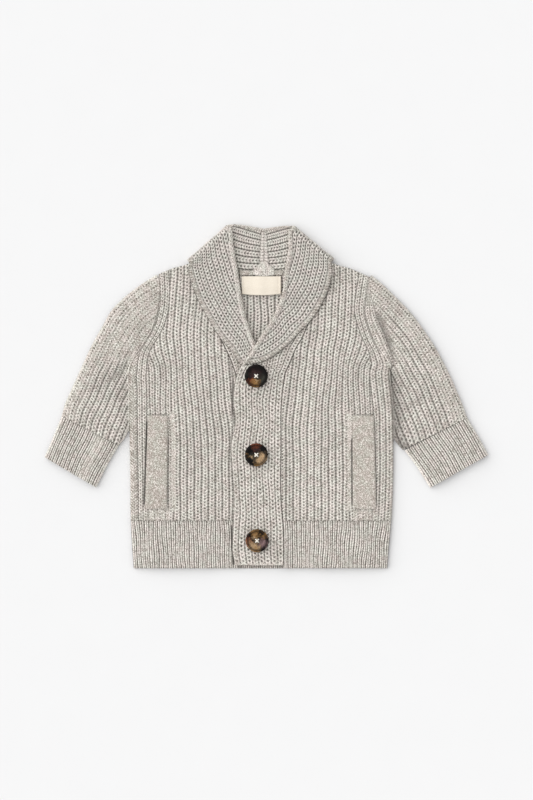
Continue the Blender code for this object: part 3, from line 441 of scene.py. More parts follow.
# A patch fades from a share of its radius to another. The ring of painted shade on the slope near
# the rim fades at both sides.
PATCH_FADES = (1.45, 0.3)
HORN_SHADE_RING = ((7.2, 8.6), (10.4, 9.4))
HORN_SHADE_RING_DARK = 0.7
HORN_PATCHES = {
    "top": (
        ("umber", -1.5, 2.0, 6.0), ("moss", 6.0, -3.5, 5.0), ("rust", -5.0, -5.5, 3.4),
        ("gold", -1.0, -7.0, 4.2), ("moss", -9.5, 1.5, 2.6), ("tan", 0.0, -4.6, 1.6),
    ),
    "middle": (
        ("rust", -1.2, 8.0, 3.8), ("umber", -0.5, 4.5, 3.6), ("moss", -5.0, -1.5, 3.6),
        ("tan", -5.0, -1.8, 1.9), ("gold", -9.6, 0.0, 1.6), ("tan", 4.8, -2.6, 4.6),
        ("tan", 2.4, -6.2, 4.2), ("gold", 1.0, -10.0, 3.2),
    ),
    "bottom": (
        ("gold", -2.0, 7.6, 4.4), ("gold", 5.6, 5.0, 3.2), ("tan", -2.4, 3.6, 2.6),
        ("black", -6.4, 3.4, 3.4), ("black", 2.8, 7.6, 2.6), ("mauve", 5.4, -2.0, 4.4),
        ("rust", -9.0, -1.0, 4.2), ("tan", -5.2, -4.0, 4.2), ("tan", -1.0, -6.8, 4.4),
        ("gold", -2.0, -10.0, 3.4),
    ),
}

# The studio: its camera, with places in metres and the lens in millimetres, its floor, in metres,
# and its light.
LENS = 100.0
SENSOR = 36.0
SEES_TO = 20.0
CAMERA_AT = (0.0, -0.0029, 2.111)
FLOOR_WIDTH = 6.0
FLOOR_BELOW = 0.0003
AMBIENT = 0.69
KEY_STRENGTH = 2.17
KEY_SPREAD = 84.0
KEY_TILT = (-44.0, -16.0)

# Soft creases: both ends, how deep the trough is (a ridge where it is below 0), how wide.
# Troughs take a little painted shade, and each crease bends by a share of its length.
CREASE_SHADE = 0.12
CREASE_BEND = 0.05
CREASES = table(
    "x0 y0 x1 y1 depth width",
    (-128, 192, -146, 176, 1.6, 5), (-126, 205, -150, 214, -0.8, 7), (-133, 160, -160, 178, 0.9, 6),
    (109, 242, 125, 204, 2.2, 3.4), (123, 208, 127, 178, 1.6, 3.5), (124, 206, 150, 210, -0.8, 7),
    (138, 150, 165, 166, 0.9, 6), (-108, 205, -88, 176, 0.7, 7), (104, 204, 86, 172, 0.7, 7),
    (-60, 80, -52, 165, 0.5, 9), (66, 95, 72, 190, 0.5, 10), (-150, 235, -118, 262, 0.5, 8),
    (140, 236, 118, 256, 0.5, 8),
)

# Lines of painted shade where cloth folds in on itself or meets other cloth: both ends, how dark and
# how wide.
PAINTED_SHADE_LINES = table(
    "x0 y0 x1 y1 dark width",
    (102.5, 263, 105.9, 251.8, 0.30, 0.9), (105.9, 251.8, 112.1, 232.8, 0.50, 1.0),
    (112.1, 232.8, 117.8, 219.5, 0.70, 1.1), (117.8, 219.5, 122.6, 207.1, 0.75, 1.1),
    (122.6, 207.1, 125.6, 198.5, 0.70, 1.0), (111, 240, 123, 211, 0.58, 4.2),
    (111.5, 245, 119.5, 226, 0.45, 0.9), (119.5, 226, 127.5, 203, 0.50, 0.9),
    (125.4, 192.4, 121.8, 187.4, 0.70, 0.9), (122.6, 188, 123.9, 173, 1.00, 1.1),
    (123.9, 173, 126.0, 156, 0.90, 1.1), (126.0, 156, 126.8, 128, 0.70, 1.2),
    (100.1, 264, 98.4, 243, 0.50, 0.8), (98.4, 243, 102.6, 226, 0.60, 0.8),
    (102.6, 226, 108.4, 212.5, 0.60, 0.8), (108.4, 212.5, 114, 204.5, 0.50, 0.8),
    (-96.3, 262, -97.8, 243, 0.55, 0.8), (-97.8, 243, -103, 226, 0.65, 0.8),
    (-103, 226, -111.3, 212.5, 0.60, 0.8), (-111.3, 212.5, -118, 203, 0.45, 0.8),
    (-29.4, 196, -26.6, 178, 0.65, 1.0), (-26.6, 178, -27.4, 145, 0.90, 1.1),
    (-27.4, 145, -26.2, 138, 0.70, 0.9), (-26.2, 138, -29.0, 117, 0.60, 0.9),
    (-29.0, 117, -28.0, 95, 0.60, 0.9), (-28.0, 95, -26.4, 66, 0.60, 0.9),
    (-107, 145.9, -89, 145.9, 0.55, 0.7), (107, 145.9, 88, 145.9, 0.55, 0.7),
    (-26.2, 4, -28.2, 40, 1.00, 1.1), (-27.6, 46, -26.4, 66, 0.65, 0.9),
)
# The far side of the two ribs on the left sleeve that follow its armhole.
ARMHOLE_FOLD = table(
    "y x",
    (186.5, 122.2), (191.9, 125.4), (199.5, 125.6), (207, 122.6), (219.5, 117.8), (232.8, 112.1),
    (251.8, 105.9), (267, 102.5),
)


# ---------------------------------------------------------------- reading tables and heights
def read(rows, key, column, at):
    """A column of a table, on a smooth curve through its rows, where the key column holds at."""
    x, y = rows[key], rows[column]
    slope = np.gradient(y, x)
    at = np.clip(at, x[0], x[-1])
    i = np.clip(np.searchsorted(x, at, side="right") - 1, 0, len(x) - 2)
    span = x[i + 1] - x[i]
    t = (at - x[i]) / span
    return (
        (2 * t**3 - 3 * t**2 + 1) * y[i]
        + (t**3 - 2 * t**2 + t) * span * slope[i]
        + (3 * t**2 - 2 * t**3) * y[i + 1]
        + (t**3 - t**2) * span * slope[i + 1]
    )


def ease(t):
    """A smooth step from 0 to 1."""
    t = np.clip(t, 0.0, 1.0)
    return t * t * (3 - 2 * t)


def fade(value, none, full):
    """A smooth step from 0 where a value is none to 1 where it is full."""
    return ease((value - none) / (full - none))


def bell(away, width):
    """1 in the middle, and next to nothing from twice the width on."""
    return np.exp(-((away / width) ** 2))


def part_way(first, last, part):
    return first + (last - first) * part


def over(rows, x):
    """The value of each row at every place on it."""
    return np.broadcast_to(rows[:, None], x.shape)


def row_at(rows, at):
    """Every column of a table of sections, at a share along it."""
    return {name: read(rows, "section", name, at) for name in rows}


def top_edge(x):
    return read(TOP_EDGE, "x", "y", np.abs(x))


def back_rise(x, y, lead=0.0):
    """How far the hidden fall lifts the cloth above it."""
    start = read(HIDDEN_FALL_EDGE, "x", "y", np.abs(x)) - RISE_START - lead
    return LAYER * ease((y - start) / (RISE_LENGTH + lead / 2))


def cross_rise(x, y):
    """How far the left band, stand and front lie above their own layer, on the right side's."""
    beyond = np.maximum(0.0, x - read(NECK_SEAM, "y", "left", y))
    return LAYER * fade(y, CROSS_END, CROSS_FULL) * ease(1 - beyond / PLACKET_RAMP)


def corner_rise(x, y):
    """How far the corner of the right fall lifts the left band and collar."""
    away = np.hypot(x - CORNER[0], y - CORNER[1])
    return LAYER * fade(away, CORNER_END, CORNER_FULL)


def puff(x, y, side):
    """The soft swell of a front between its seams."""
    from_edge = np.abs(read(BODY_EDGE, "y", side, y) - x)
    from_seam = np.abs(x - read(NECK_SEAM, "y", side, y)) - PUFF_SEAM_FLAT
    swell = ease(from_edge / PUFF_FROM_SIDE) * ease(from_seam / PUFF_FROM_SEAM)
    below_top = ease((PUFF_TOP - y) / PUFF_FROM_TOP)
    return PUFF * swell * below_top * ease((y + PUFF_FROM_HEM) / PUFF_FROM_HEM)


def front_base(x, y, side, lead=FRONT_LEAD):
    """The underside of the layer that a front, its band and its stand share."""
    beyond = SIDES[side] * (x - read(NECK_SEAM, "y", side, y))
    base = LAYER + back_rise(x, y, lead) + np.where(beyond > 0, puff(x, y, side), 0.0)
    return base + cross_rise(x, y) if side == "left" else base


def strip_base(x, y, side):
    """The underside of a band or a stand."""
    base = front_base(x, y, side, COLLAR_LEAD)
    return base + corner_rise(x, y) if side == "left" else base


def by_lines(lines, x, y):
    """For each line of a table, its length, a place's reach along it and distance aside, and the rest.

    The reach is a distance times the line's length.
    """
    for x0, y0, x1, y1, *others in zip(*lines.values()):
        run = np.hypot(x1 - x0, y1 - y0)
        reach = (x - x0) * (x1 - x0) + (y - y0) * (y1 - y0)
        aside = ((x - x0) * (y1 - y0) - (y - y0) * (x1 - x0)) / run
        yield run, reach, aside, *others


def creases(x, y):
    """The height that the listed creases take off or add."""
    total = np.zeros(np.broadcast(x, y).shape)
    for run, reach, aside, depth, width in by_lines(CREASES, x, y):
        along = reach / run**2
        bend = CREASE_BEND * run * np.sin(np.pi * along)
        ends = fade(along, -0.25, 0.25) * fade(along, 1.25, 0.75)
        total -= depth * ends * bell(aside + bend, width)
    return total


def painted_shade_lines(x, y):
    """How dark the painted shade of the listed lines makes the cloth at a place."""
    total = np.zeros(np.broadcast(x, y).shape)
    for run, reach, aside, dark, width in by_lines(PAINTED_SHADE_LINES, x, y):
        beyond = np.maximum(0, np.maximum(-reach / run, reach / run - run))
        total = np.maximum(total, dark * bell(np.hypot(aside, beyond), width))
    return total


WAVES = np.random.default_rng(11).uniform(0, math.tau, (6, 2))


def drift(x, y, scale):
    """Slow unevenness between -1 and 1, over about scale millimetres."""
    total = 0.0
    for turn, phase in WAVES:
        total = total + np.sin((x * np.cos(turn) + y * np.sin(turn)) * 4.2 / scale + phase)
    return total / 3.0


def uneven(x, y, name):
    amount, scale = UNEVEN[name]
    return amount * drift(x, y, scale)


def sway(x, y, name, distance, width, reach):
    """The unevenness of ribs between two edges, where they are straight."""
    return uneven(x, y, name) * ease(distance / reach) * ease((width - distance) / reach)


# ---------------------------------------------------------------- stitches
# The luck of each stitch, four times over, for this many ribs and rows before it repeats.
LUCKY_RIBS, LUCKY_ROWS = 61, 257
LUCK = np.random.default_rng(23).uniform(-1, 1, (4, LUCKY_RIBS, LUCKY_ROWS))
PLAIN_TONE = 1.1


def knit(ribs, along, kind, ribbing=1.0, plain=0.0):
    """The relief of a knit, at a place across it counted in ribs and a distance along them.

    Gives how far the yarn lies below a rib's crest, how much painted shade it takes (0 to 1), and
    each leg's own tone (-1 to 1). ribbing fades the valleys, and plain fades the eyes of the stitches.
    """
    k = KNITS[kind]
    course = along / k["row"]
    rib_number, stitch_number = np.floor(ribs).astype(int), np.floor(course + 0.5).astype(int)
    luck = [own[rib_number % LUCKY_RIBS, stitch_number % LUCKY_ROWS] for own in LUCK]
    u = ribs - rib_number - 0.5
    side = np.abs(u)
    between = 0.5 - 0.5 * np.cos(math.tau * course)
    start = k["start"] + 0.04 * (0.5 - between) + 0.015 * luck[1]
    valley = ease((side - start) / (0.5 - start)) * ribbing
    middle = bell(side, k["open"]) * (1 - plain)
    eye = bell(course - stitch_number, k["length"]) * (0.8 + 0.2 * luck[0])
    opened = middle * (0.08 + 0.92 * eye)
    on_leg = bell(side - 0.5 * k["start"] - 0.09, 0.52 * k["start"])
    climb = course - k["slant"] * side + 0.07 * luck[1]
    gap = (0.5 + 0.5 * np.cos(math.tau * climb)) ** 2 * on_leg
    depth = k["valley"] * valley * (0.7 + 0.3 * between)
    depth = depth + k["eye"] * opened + k["bead"] * gap
    shade = min(1.0, k["valley"]) * valley * (0.95 - 0.40 * (1 - k["even"]) * (1 - between))
    shade = shade + min(1.3, 2 * k["eye"]) * opened + 0.5 * k["bead"] * gap
    tone = np.where(u > 0, luck[2], luck[3]) * (1 - valley) * k["mix"] + k["pale"]
    tone = tone * (0.4 + 0.6 * ribbing) - PLAIN_TONE * (1 - ribbing)
    return depth, np.clip(shade, 0, 1), tone


def legs(place, along, depth=1.0, shade=1.0, tone=0.0):
    """A strip with no ribs, of slanting legs alone. 0.5 is its middle."""
    own = knit(place, along, "chevron", 0)
    return depth * own[0], shade * own[1], own[2] + tone


def rim(distance, drop, width):
    """How far a face rounds down at a distance from its edge."""
    t = 1 - np.clip(distance / width, 0, 1)
    return drop * (1 - np.sqrt(1 - t * t))


def edge(relief, distance, drop, dark, width):
    """Rounds a face down to an edge, and paints shade on the line along it."""
    depth, shade, tone = relief
    line = dark * bell(distance, LINE_WIDTH)
    return np.minimum(depth + rim(distance, drop, width), DEEPEST), np.maximum(shade, line), tone


def edged(relief, *edges):
    """A face with several edges, each of them a distance from it and its kind."""
    for distance, kind in edges:
        relief = edge(relief, distance, **kind)
    return relief


def mixture(first, second, part):
    """Between two reliefs."""
    return [a * (1 - part) + b * part for a, b in zip(first, second)]


def blend(first, second, part):
    """Between two kinds of edge."""
    return dict(zip(first, mixture(first.values(), second.values(), part)))


# ---------------------------------------------------------------- building meshes
LOW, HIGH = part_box("button_middle")
ORIGIN = np.array(
    [
        (LOW.x + HIGH.x) / 2 / MM - BUTTONS["middle"][0],
        (LOW.y + HIGH.y) / 2 / MM - BUTTONS["middle"][1],
        0.0,
    ]
)
ATTRIBUTES = ("rib", "row", "shade", "tone")


class Cloth:
    """A mesh put together from grids of points and the strips that close it between them."""

    def __init__(self):
        self.points = np.zeros((0, 3))
        self.values = np.zeros((0, len(ATTRIBUTES)))
        self.faces = []

    def grid(self, points, rib=0.0, row=0.0, shade=0.0, tone=0.0):
        """Quads over rows and columns of points. Gives the points' numbers."""
        shape = points.shape[:2]
        numbers = len(self.points) + np.arange(shape[0] * shape[1]).reshape(shape)
        values = [np.broadcast_to(v, shape) for v in (rib, row, shade, tone)]
        self.points = np.vstack([self.points, points.reshape(-1, 3)])
        self.values = np.vstack([self.values, np.stack(values, -1).reshape(-1, 4)])
        corners = (numbers[:-1, :-1], numbers[:-1, 1:], numbers[1:, 1:], numbers[1:, :-1])
        self.faces.append(np.stack(corners, -1).reshape(-1, 4))
        return numbers

    def strip(self, first, second):
        """Triangles between two runs of points that start and end side by side."""

        def places(run):
            steps = np.linalg.norm(np.diff(self.points[run], axis=0), axis=1)
            return np.concatenate([[0], np.cumsum(steps)]) / max(steps.sum(), 1e-9)

        p, q = places(first), places(second)
        i = j = 0
        made = []
        while i < len(first) - 1 or j < len(second) - 1:
            if j == len(second) - 1 or (i < len(first) - 1 and p[i + 1] <= q[j + 1]):
                made.append((first[i], first[i + 1], second[j], second[j]))
                i += 1
            else:
                made.append((second[j + 1], second[j], first[i], first[i]))
                j += 1
        self.faces.append(np.array(made))

    def close(self, top, under):
        """Strips along all four sides of two grids."""
        self.strip(top[0], under[0])
        self.strip(top[-1], under[-1])
        self.strip(top[:, 0], under[:, 0])
        self.strip(top[:, -1], under[:, -1])

    def make(self, name, material, slot="knit", replaces=True):
        """The finished piece, in the row frame, riding on the body and standing for its node."""
        welded, first, number = np.unique(
            np.round(self.points, 3), axis=0, return_index=True, return_inverse=True
        )
        quads = number.reshape(-1)[np.vstack(self.faces)]
        faces = []
        for a, b, c, d in quads.tolist():
            face = list(dict.fromkeys((a, b, c, d)))
            if len(face) > 2:
                faces.append(face)
        data = bpy.data.meshes.new(name)
        data.from_pydata(((welded + ORIGIN) * MM).tolist(), [], faces)
        for i, attribute in enumerate(ATTRIBUTES):
            layer = data.attributes.new(attribute, "FLOAT", "POINT")
            layer.data.foreach_set("value", self.values[first, i].astype(np.float32))
        mesh = bmesh.new()
        mesh.from_mesh(data)
        bmesh.ops.recalc_face_normals(mesh, faces=mesh.faces)
        if mesh.calc_volume(signed=True) < 0:
            bmesh.ops.reverse_faces(mesh, faces=mesh.faces)
        mesh.to_mesh(data)
        mesh.free()
        data.shade_smooth()
        data.materials.append(material)
        return placed(data, f"{name}_cloth", slot, *([name] if replaces else []))


def added(name, data):
    """A new object in the scene."""
    made = bpy.data.objects.new(name, data)
    bpy.context.scene.collection.objects.link(made)
    return made


def placed(data, name, slot, *nodes):
    """A mesh as a piece that rides on the body and stands for nodes."""
    piece = added(name, data)
    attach(piece, "root")
    if nodes:
        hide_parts(*nodes)
    return piece


def ramp(first, last, step):
    """Places from first to last: close together at both ends, a step apart between them."""
    count = max(2, round((last - first - 2 * EDGE_WIDTH) / step) + 1)
    inside = np.linspace(first + EDGE_WIDTH, last - EDGE_WIDTH, count)
    return np.concatenate([first + EDGE_STEPS, inside, last - EDGE_STEPS[::-1]])


def steps(low, high, step=COLUMN):
    """Places a step apart, from low to high."""
    return np.linspace(low, high, max(2, round((high - low) / step) + 1))


def between_edges(inside, low, high):
    """Places on each row, held between its two edges, with close steps along both."""
    held = np.clip(inside, low + EDGE_WIDTH, high - EDGE_WIDTH)
    return np.hstack([low + EDGE_STEPS, held, high - EDGE_STEPS[::-1]])


def sheared(row, x):
    """The height of a row at x: rows near the shoulder follow the top edge."""
    tilt = np.maximum(0.0, (row - SHEAR_FROM) / (SHOULDER_ROW - SHEAR_FROM))
    return row + (top_edge(x) - SHOULDER_ROW) * tilt


def limits(rows, edge_of, side, guess):
    """The x of a panel's edge on sheared rows, as a column."""
    x = np.full_like(rows, SIDES[side] * guess)
    for _ in range(6):
        x = read(edge_of, "y", side, sheared(rows, x))
    return x[:, None]


def by_ribs(width, ribs, per_rib):
    """Places across a strip on each row, a share of a rib apart, with close steps along both edges."""
    inside = EDGE_WIDTH + (width - 2 * EDGE_WIDTH) * np.linspace(0, 1, ribs * per_rib + 1)
    first = np.broadcast_to(EDGE_STEPS, (len(width), len(EDGE_STEPS)))
    return np.hstack([first, inside, width - EDGE_STEPS[::-1]])


def points(x, y, z):
    return np.stack(np.broadcast_arrays(x, y, z), -1)


# ---------------------------------------------------------------- fronts, back and hems
def from_ends(rows):
    """Each row's distance from the nearer end, as a column."""
    return np.minimum(rows - rows[0], rows[-1] - rows)[:, None]


def front_ribs(x, y, side):
    """The place of a point of a front across its ribs, in ribs."""
    x = x + uneven(x, y, "front_ribs")
    first, pitch = RIBS_FROM[side]
    near = first + NEAR_RIB * pitch + read(RIB_LEAN[side], "y", "near", y)
    far = first + FAR_RIB * pitch + read(RIB_LEAN[side], "y", "far", y)
    close = part_way(*CLOSE_RIB, fade(y, *CLOSE_RIB_TO))
    between = NEAR_RIB + (FAR_RIB - NEAR_RIB) * (x - near) / (far - near)
    ribs = np.where(x < near, NEAR_RIB + (x - near) / pitch, between)
    return np.where(x > far, FAR_RIB + (x - far) / close, ribs)


def front(side, material):
    sign = SIDES[side]
    cloth = Cloth()
    rows = ramp(HEM_SEAM + SEAM_GAP, SHOULDER_ROW, KNITS["body"]["row"] / ROWS_PER_STITCH)
    low = np.abs(limits(rows, NECK_SEAM, side, 50))
    high = np.abs(limits(rows, BODY_EDGE, side, 100))
    at_side = fade(rows, *PLAIN_SIDE_FROM)[:, None]
    plain_width = part_way(PLAIN_SIDE["armhole"], PLAIN_SIDE[side], at_side)
    ribs_width = part_way(SIDE_RIBS["armhole"], SIDE_RIBS[side], at_side)
    plain_from = high - plain_width
    turn = plain_from - ribs_width
    inner = np.clip(steps(*FRONT_REACH), low + EDGE_WIDTH, turn)
    two_ribs = turn + ribs_width * np.linspace(0, 1, 17)[1:]
    plain = np.minimum(plain_from + plain_width * np.linspace(0, 1, 11)[1:], high - EDGE_WIDTH)
    across = np.hstack([low + EDGE_STEPS, inner, two_ribs, plain, high - EDGE_STEPS[::-1]])
    x = sign * across
    y = sheared(rows[:, None], x)
    along = over(rows, across)
    beside = ARMHOLE_RIB + 2 * (across - turn) / ribs_width
    ribs = np.where(across < turn, front_ribs(across, y, side), beside)
    ribs = np.where(across > plain_from, STRIP_RIB + (across - plain_from) / PLAIN_SIDE[side], ribs)
    smooth = sum(
        ease((across - x0) / 2) * ease((x1 - across) / 2) * within(y, y0, y1)
        for x0, x1, y0, y1 in PLAIN_BY_WELT
    )
    on_strip = across > plain_from
    ribbed = knit(ribs, along, "body", 1 - 0.7 * smooth, 0.2 * smooth)
    chevrons = knit(ribs, along, STRIP_KNIT[side], 0.6)
    relief = [np.where(on_strip, one, other) for one, other in zip(chevrons, ribbed)]
    hangs_free = ease((SLEEVE_LEAVES[side] - rows) / 10)[:, None]
    side_kind = blend(ARMHOLE[side], blend(JOIN, SIDE_FOLD, hangs_free), at_side)
    first, last = rows[:, None] - rows[0], rows[-1] - rows[:, None]
    depth, shade, tone = edged(
        relief, (across - low, SEAM), (high - across, side_kind), (first, SOFT_SEAM), (last, FREE)
    )
    to_turn = bell(across - turn, TURN_LINE["width"])
    depth = np.maximum(depth, TURN_LINE["depth"] * to_turn)
    shade = np.maximum(shade, TURN_LINE["dark"] * to_turn)
    # Painted shade in the pocket's mouth and beside it, which also deepens a groove, and along the
    # listed lines.
    pocket_groove_and_shade = pocket_shade_lines(across, y, side)
    depth = np.minimum(depth + MOUTH_DEPTH * pocket_groove_and_shade, DEEPEST)
    shade = np.maximum(np.maximum(shade, pocket_groove_and_shade), painted_shade_lines(x, y))
    folds = creases(x, y)
    # Painted shade in the creases' troughs.
    shade = shade + CREASE_SHADE * np.maximum(0, -folds) * (1 - shade)
    z = front_base(x, y, side) + WALL - depth + folds + uneven(x, y, "face")
    top = cloth.grid(points(x, y, z), ribs, along, shade, tone)

    rows = np.linspace(rows[0], rows[-1], 60)
    low, high = limits(rows, NECK_SEAM, side, 50), limits(rows, BODY_EDGE, side, 100)
    x = part_way(low, high, np.linspace(0, 1, 24))
    y = sheared(rows[:, None], x)
    z = front_base(x, y, side) + np.minimum(0, creases(x, y)) * 0.3
    cloth.close(top, cloth.grid(points(x, y, z), x, y))
    return cloth.make(f"front_{side}", material)


def within(y, low, high):
    """1 between two heights, fading to 0 at both."""
    return ease((y - low) / 5) * ease((high - y) / 5)


def welt_edge(side, which, y):
    """The x of a welt's inner or outer edge."""
    part = (y - WELT_HEIGHTS[0]) / (WELT_HEIGHTS[1] - WELT_HEIGHTS[0])
    return part_way(*WELT[side][which], part)


def pocket_shade_lines(across, y, side):
    """The painted shade on a point of a front in the pocket's mouth, or in the line across from it."""
    total = 0.0
    for which, dark, width, low, high in POCKET_LINES[side]:
        away = POCKET_LINE_AWAY[which] * width
        line = np.abs(welt_edge(side, which, y)) + away
        total = total + dark * bell(across - line, width) * within(y, low, high)
    return np.minimum(total, 1.0)


def ribbed_under(cloth, kind, rows, low, high, y_of, base):
    """The ribbed outer face of the back or its hem, which lies flat on the surface."""
    rib = KNITS[kind]["rib"]
    x = between_edges(steps(-BACK_REACH[kind], BACK_REACH[kind], rib / 6), low, high)
    y = y_of(rows[:, None], x)
    along = over(rows, x)
    depth, shade, tone = knit(x / rib, along, kind)
    raised = UNDER_RELIEF * depth + rim(np.minimum(x - low, high - x), **UNDER_SIDE)
    raised = raised + rim(from_ends(rows), UNDER_END, EDGE_WIDTH)
    raised = np.minimum(raised + UNDER_CREASES * np.maximum(0, -creases(x, y)), UNDER_RISE)
    return cloth.grid(points(x, y, base(x, y) + raised), x / rib, along, shade, tone)


def back(material):
    """The back: its inner face shows in the neck opening, its ribbed outer face lies flat."""
    k = KNITS["body"]
    cloth = Cloth()
    first = HEM_SEAM + SEAM_GAP
    fine = ramp(FINE_FROM, SHOULDER_ROW, k["row"] / ROWS_PER_STITCH)
    rows = np.concatenate([np.linspace(first, FINE_FROM, 30)[:-1], fine])
    beside = np.linspace(NECK_REACH, BACK_REACH["fine"], 26)[1:]
    inside = np.concatenate([-beside[::-1], steps(-NECK_REACH, NECK_REACH), beside])

    def edges(rows):
        return limits(rows, BODY_EDGE, "right", 100), limits(rows, BODY_EDGE, "left", 100)

    low, high = edges(rows)
    x = between_edges(inside, low, high)
    y = sheared(rows[:, None], x)
    along = over(rows, x)
    shown = ease((NECK_REACH + 1 - np.abs(x)) / 2) * ease((along - NECK_BOTTOM) / 6)
    depth, shade, tone = knit((x + uneven(x, y, "inside_ribs")) / k["rib"], along, "inside")
    edges_at = (np.minimum(x - low, high - x), FREE), (from_ends(rows), FREE)
    depth, shade, tone = edged((depth * shown, shade * shown, tone), *edges_at)
    top = cloth.grid(points(x, y, back_rise(x, y) + WALL - depth), x / k["rib"], along, shade, tone)
    rows = ramp(first, SHOULDER_ROW, k["row"])
    cloth.close(top, ribbed_under(cloth, "body", rows, *edges(rows), sheared, back_rise))
    return cloth.make("back", material)


def hem_face(cloth, rows, low, high, base, ribs, per_rib, sides):
    """The ribbed face of a hem between two edges, lying on base."""
    width = np.abs(high - low)[:, None]
    distance = by_ribs(width, ribs, per_rib)
    x = low[:, None] + np.sign(high - low)[:, None] * distance
    y = over(rows, x)
    place = distance / width * ribs + sway(x, y, "hem_ribs", distance, width, 5)
    ribbing = np.clip(HEM_RIBBING + uneven(x, y, "hem_ribbing"), HEM_RIBBING_LEAST, 1)
    relief = edged(knit(place, y, "fine", ribbing), *zip((distance, width - distance), sides))
    first, last = rows[:, None] - rows[0], rows[-1] - rows[:, None]
    depth, shade, tone = edged(relief, (first, HEM_END), (last, SOFT_SEAM))
    # Painted shade along the listed lines.
    shade = np.maximum(shade, painted_shade_lines(x, y))
    return cloth.grid(points(x, y, base(x, y) + WALL - depth), place, y, shade, tone)


def front_hem(side, material):
    cloth = Cloth()

    def edges(rows):
        return read(NECK_SEAM, "y", side, rows), read(BODY_EDGE, "y", side, rows)

    def base(x, y):
        return front_base(x, y, side) + uneven(x, y, "hem_face")

    rows = ramp(FRONT_HEM_BOTTOM, HEM_SEAM - SEAM_GAP, KNITS["fine"]["row"] / ROWS_PER_STITCH)
    top = hem_face(cloth, rows, *edges(rows), base, HEM_RIBS, 8, (SEAM, SIDE_FOLD))
    rows = np.linspace(FRONT_HEM_BOTTOM, HEM_SEAM - SEAM_GAP, 12)
    low, high = edges(rows)
    x = part_way(low[:, None], high[:, None], np.linspace(0, 1, 24))
    y = over(rows, x)
    cloth.close(top, cloth.grid(points(x, y, front_base(x, y, side)), x, y))
    return cloth.make(f"hem_{side}", material)


def back_hem(material):
    cloth = Cloth()
    rows = ramp(BACK_HEM_BOTTOM, HEM_SEAM - SEAM_GAP, KNITS["fine"]["row"])
    low, high = read(BODY_EDGE, "y", "right", rows), read(BODY_EDGE, "y", "left", rows)

    def flat(x, y):
        return 0.0 * x

    def straight(row, x):
        return np.broadcast_to(row, x.shape)

    top = hem_face(cloth, rows, low, high, flat, BACK_HEM_RIBS, 4, (FREE, FREE))
    under = ribbed_under(cloth, "fine", rows, low[:, None], high[:, None], straight, flat)
    cloth.close(top, under)
    return cloth.make("hem_back", material)


# ---------------------------------------------------------------- bands
def band(side, free_edge, material, per_rib, per_stitch):
    """A button band, from the hem up to the line where the collar starts to fold over."""
    sign = SIDES[side]
    seam_at, free_at = BAND_TOP[side]
    cloth = Cloth()

    def lay(rows, distances):
        """x, y, distance from the seam and width, on rows that tilt towards the top edge."""
        part = fade(rows, BAND_SLANT_FROM, BAND_HIGHEST)
        seam_y = rows + part * (seam_at - BAND_HIGHEST)
        seam = read(NECK_SEAM, "y", side, seam_y) - sign * 2 * SEAM_GAP
        free = free_edge(rows + part * (free_at - BAND_HIGHEST))
        seam, free, part = seam[:, None], free[:, None], part[:, None]
        width = np.abs(free - seam)
        distance = distances(width)
        slant = seam_at + (free_at - seam_at) * distance / width - BAND_HIGHEST
        return seam - sign * distance, rows[:, None] + part * slant, distance, width

    rows = ramp(BAND_BOTTOM, BAND_HIGHEST, KNITS["band"]["row"] / per_stitch)
    x, y, distance, width = lay(rows, lambda width: by_ribs(width, BAND_RIBS, per_rib))
    along = over(rows, x)
    ribs = distance / width * BAND_RIBS + sway(x, y, "band_ribs", distance, width, 6)
    selvedge = legs(0.5 + 0.3 * (BAND_RIBS - ribs), along)
    relief = mixture(knit(ribs, along, "band"), selvedge, 0.3 * ease((ribs - (BAND_RIBS - 1)) / 0.1))
    relief = [value * ease((rows - rows[0]) / 2.5)[:, None] for value in relief]
    first, last = rows[:, None] - rows[0], rows[-1] - rows[:, None]
    relief = edged(relief, (distance, SEAM), (width - distance, ON_CLOTH))
    depth, shade, tone = edged(relief, (first, FREE), (last, JOIN))
    top = cloth.grid(points(x, y, strip_base(x, y, side) + WALL - depth), ribs, along, shade, tone)

    rows = np.linspace(BAND_BOTTOM, BAND_HIGHEST, 40)
    x, y, _, _ = lay(rows, lambda width: width * np.linspace(0, 1, 10))
    cloth.close(top, cloth.grid(points(x, y, strip_base(x, y, side)), x, y))
    return cloth.make(f"band_{side}", material)


def bands(material):
    band("left", lambda y: read(BAND_EDGE, "y", "x", y), material, 9, ROWS_PER_STITCH)

    def under_edge(y):
        return UNDER_BAND_EDGE - UNDER_BAND_INSET * ease((y - BAND_SLANT_FROM) / UNDER_BAND_CURVE)

    band("right", under_edge, material, 4, 1)


# ---------------------------------------------------------------- collar
FRONT_KEYS = 61
TURN_KEYS = 17
BACK_KEYS = 13
LAST_FRONT_KEY = FRONT_KEYS + 6


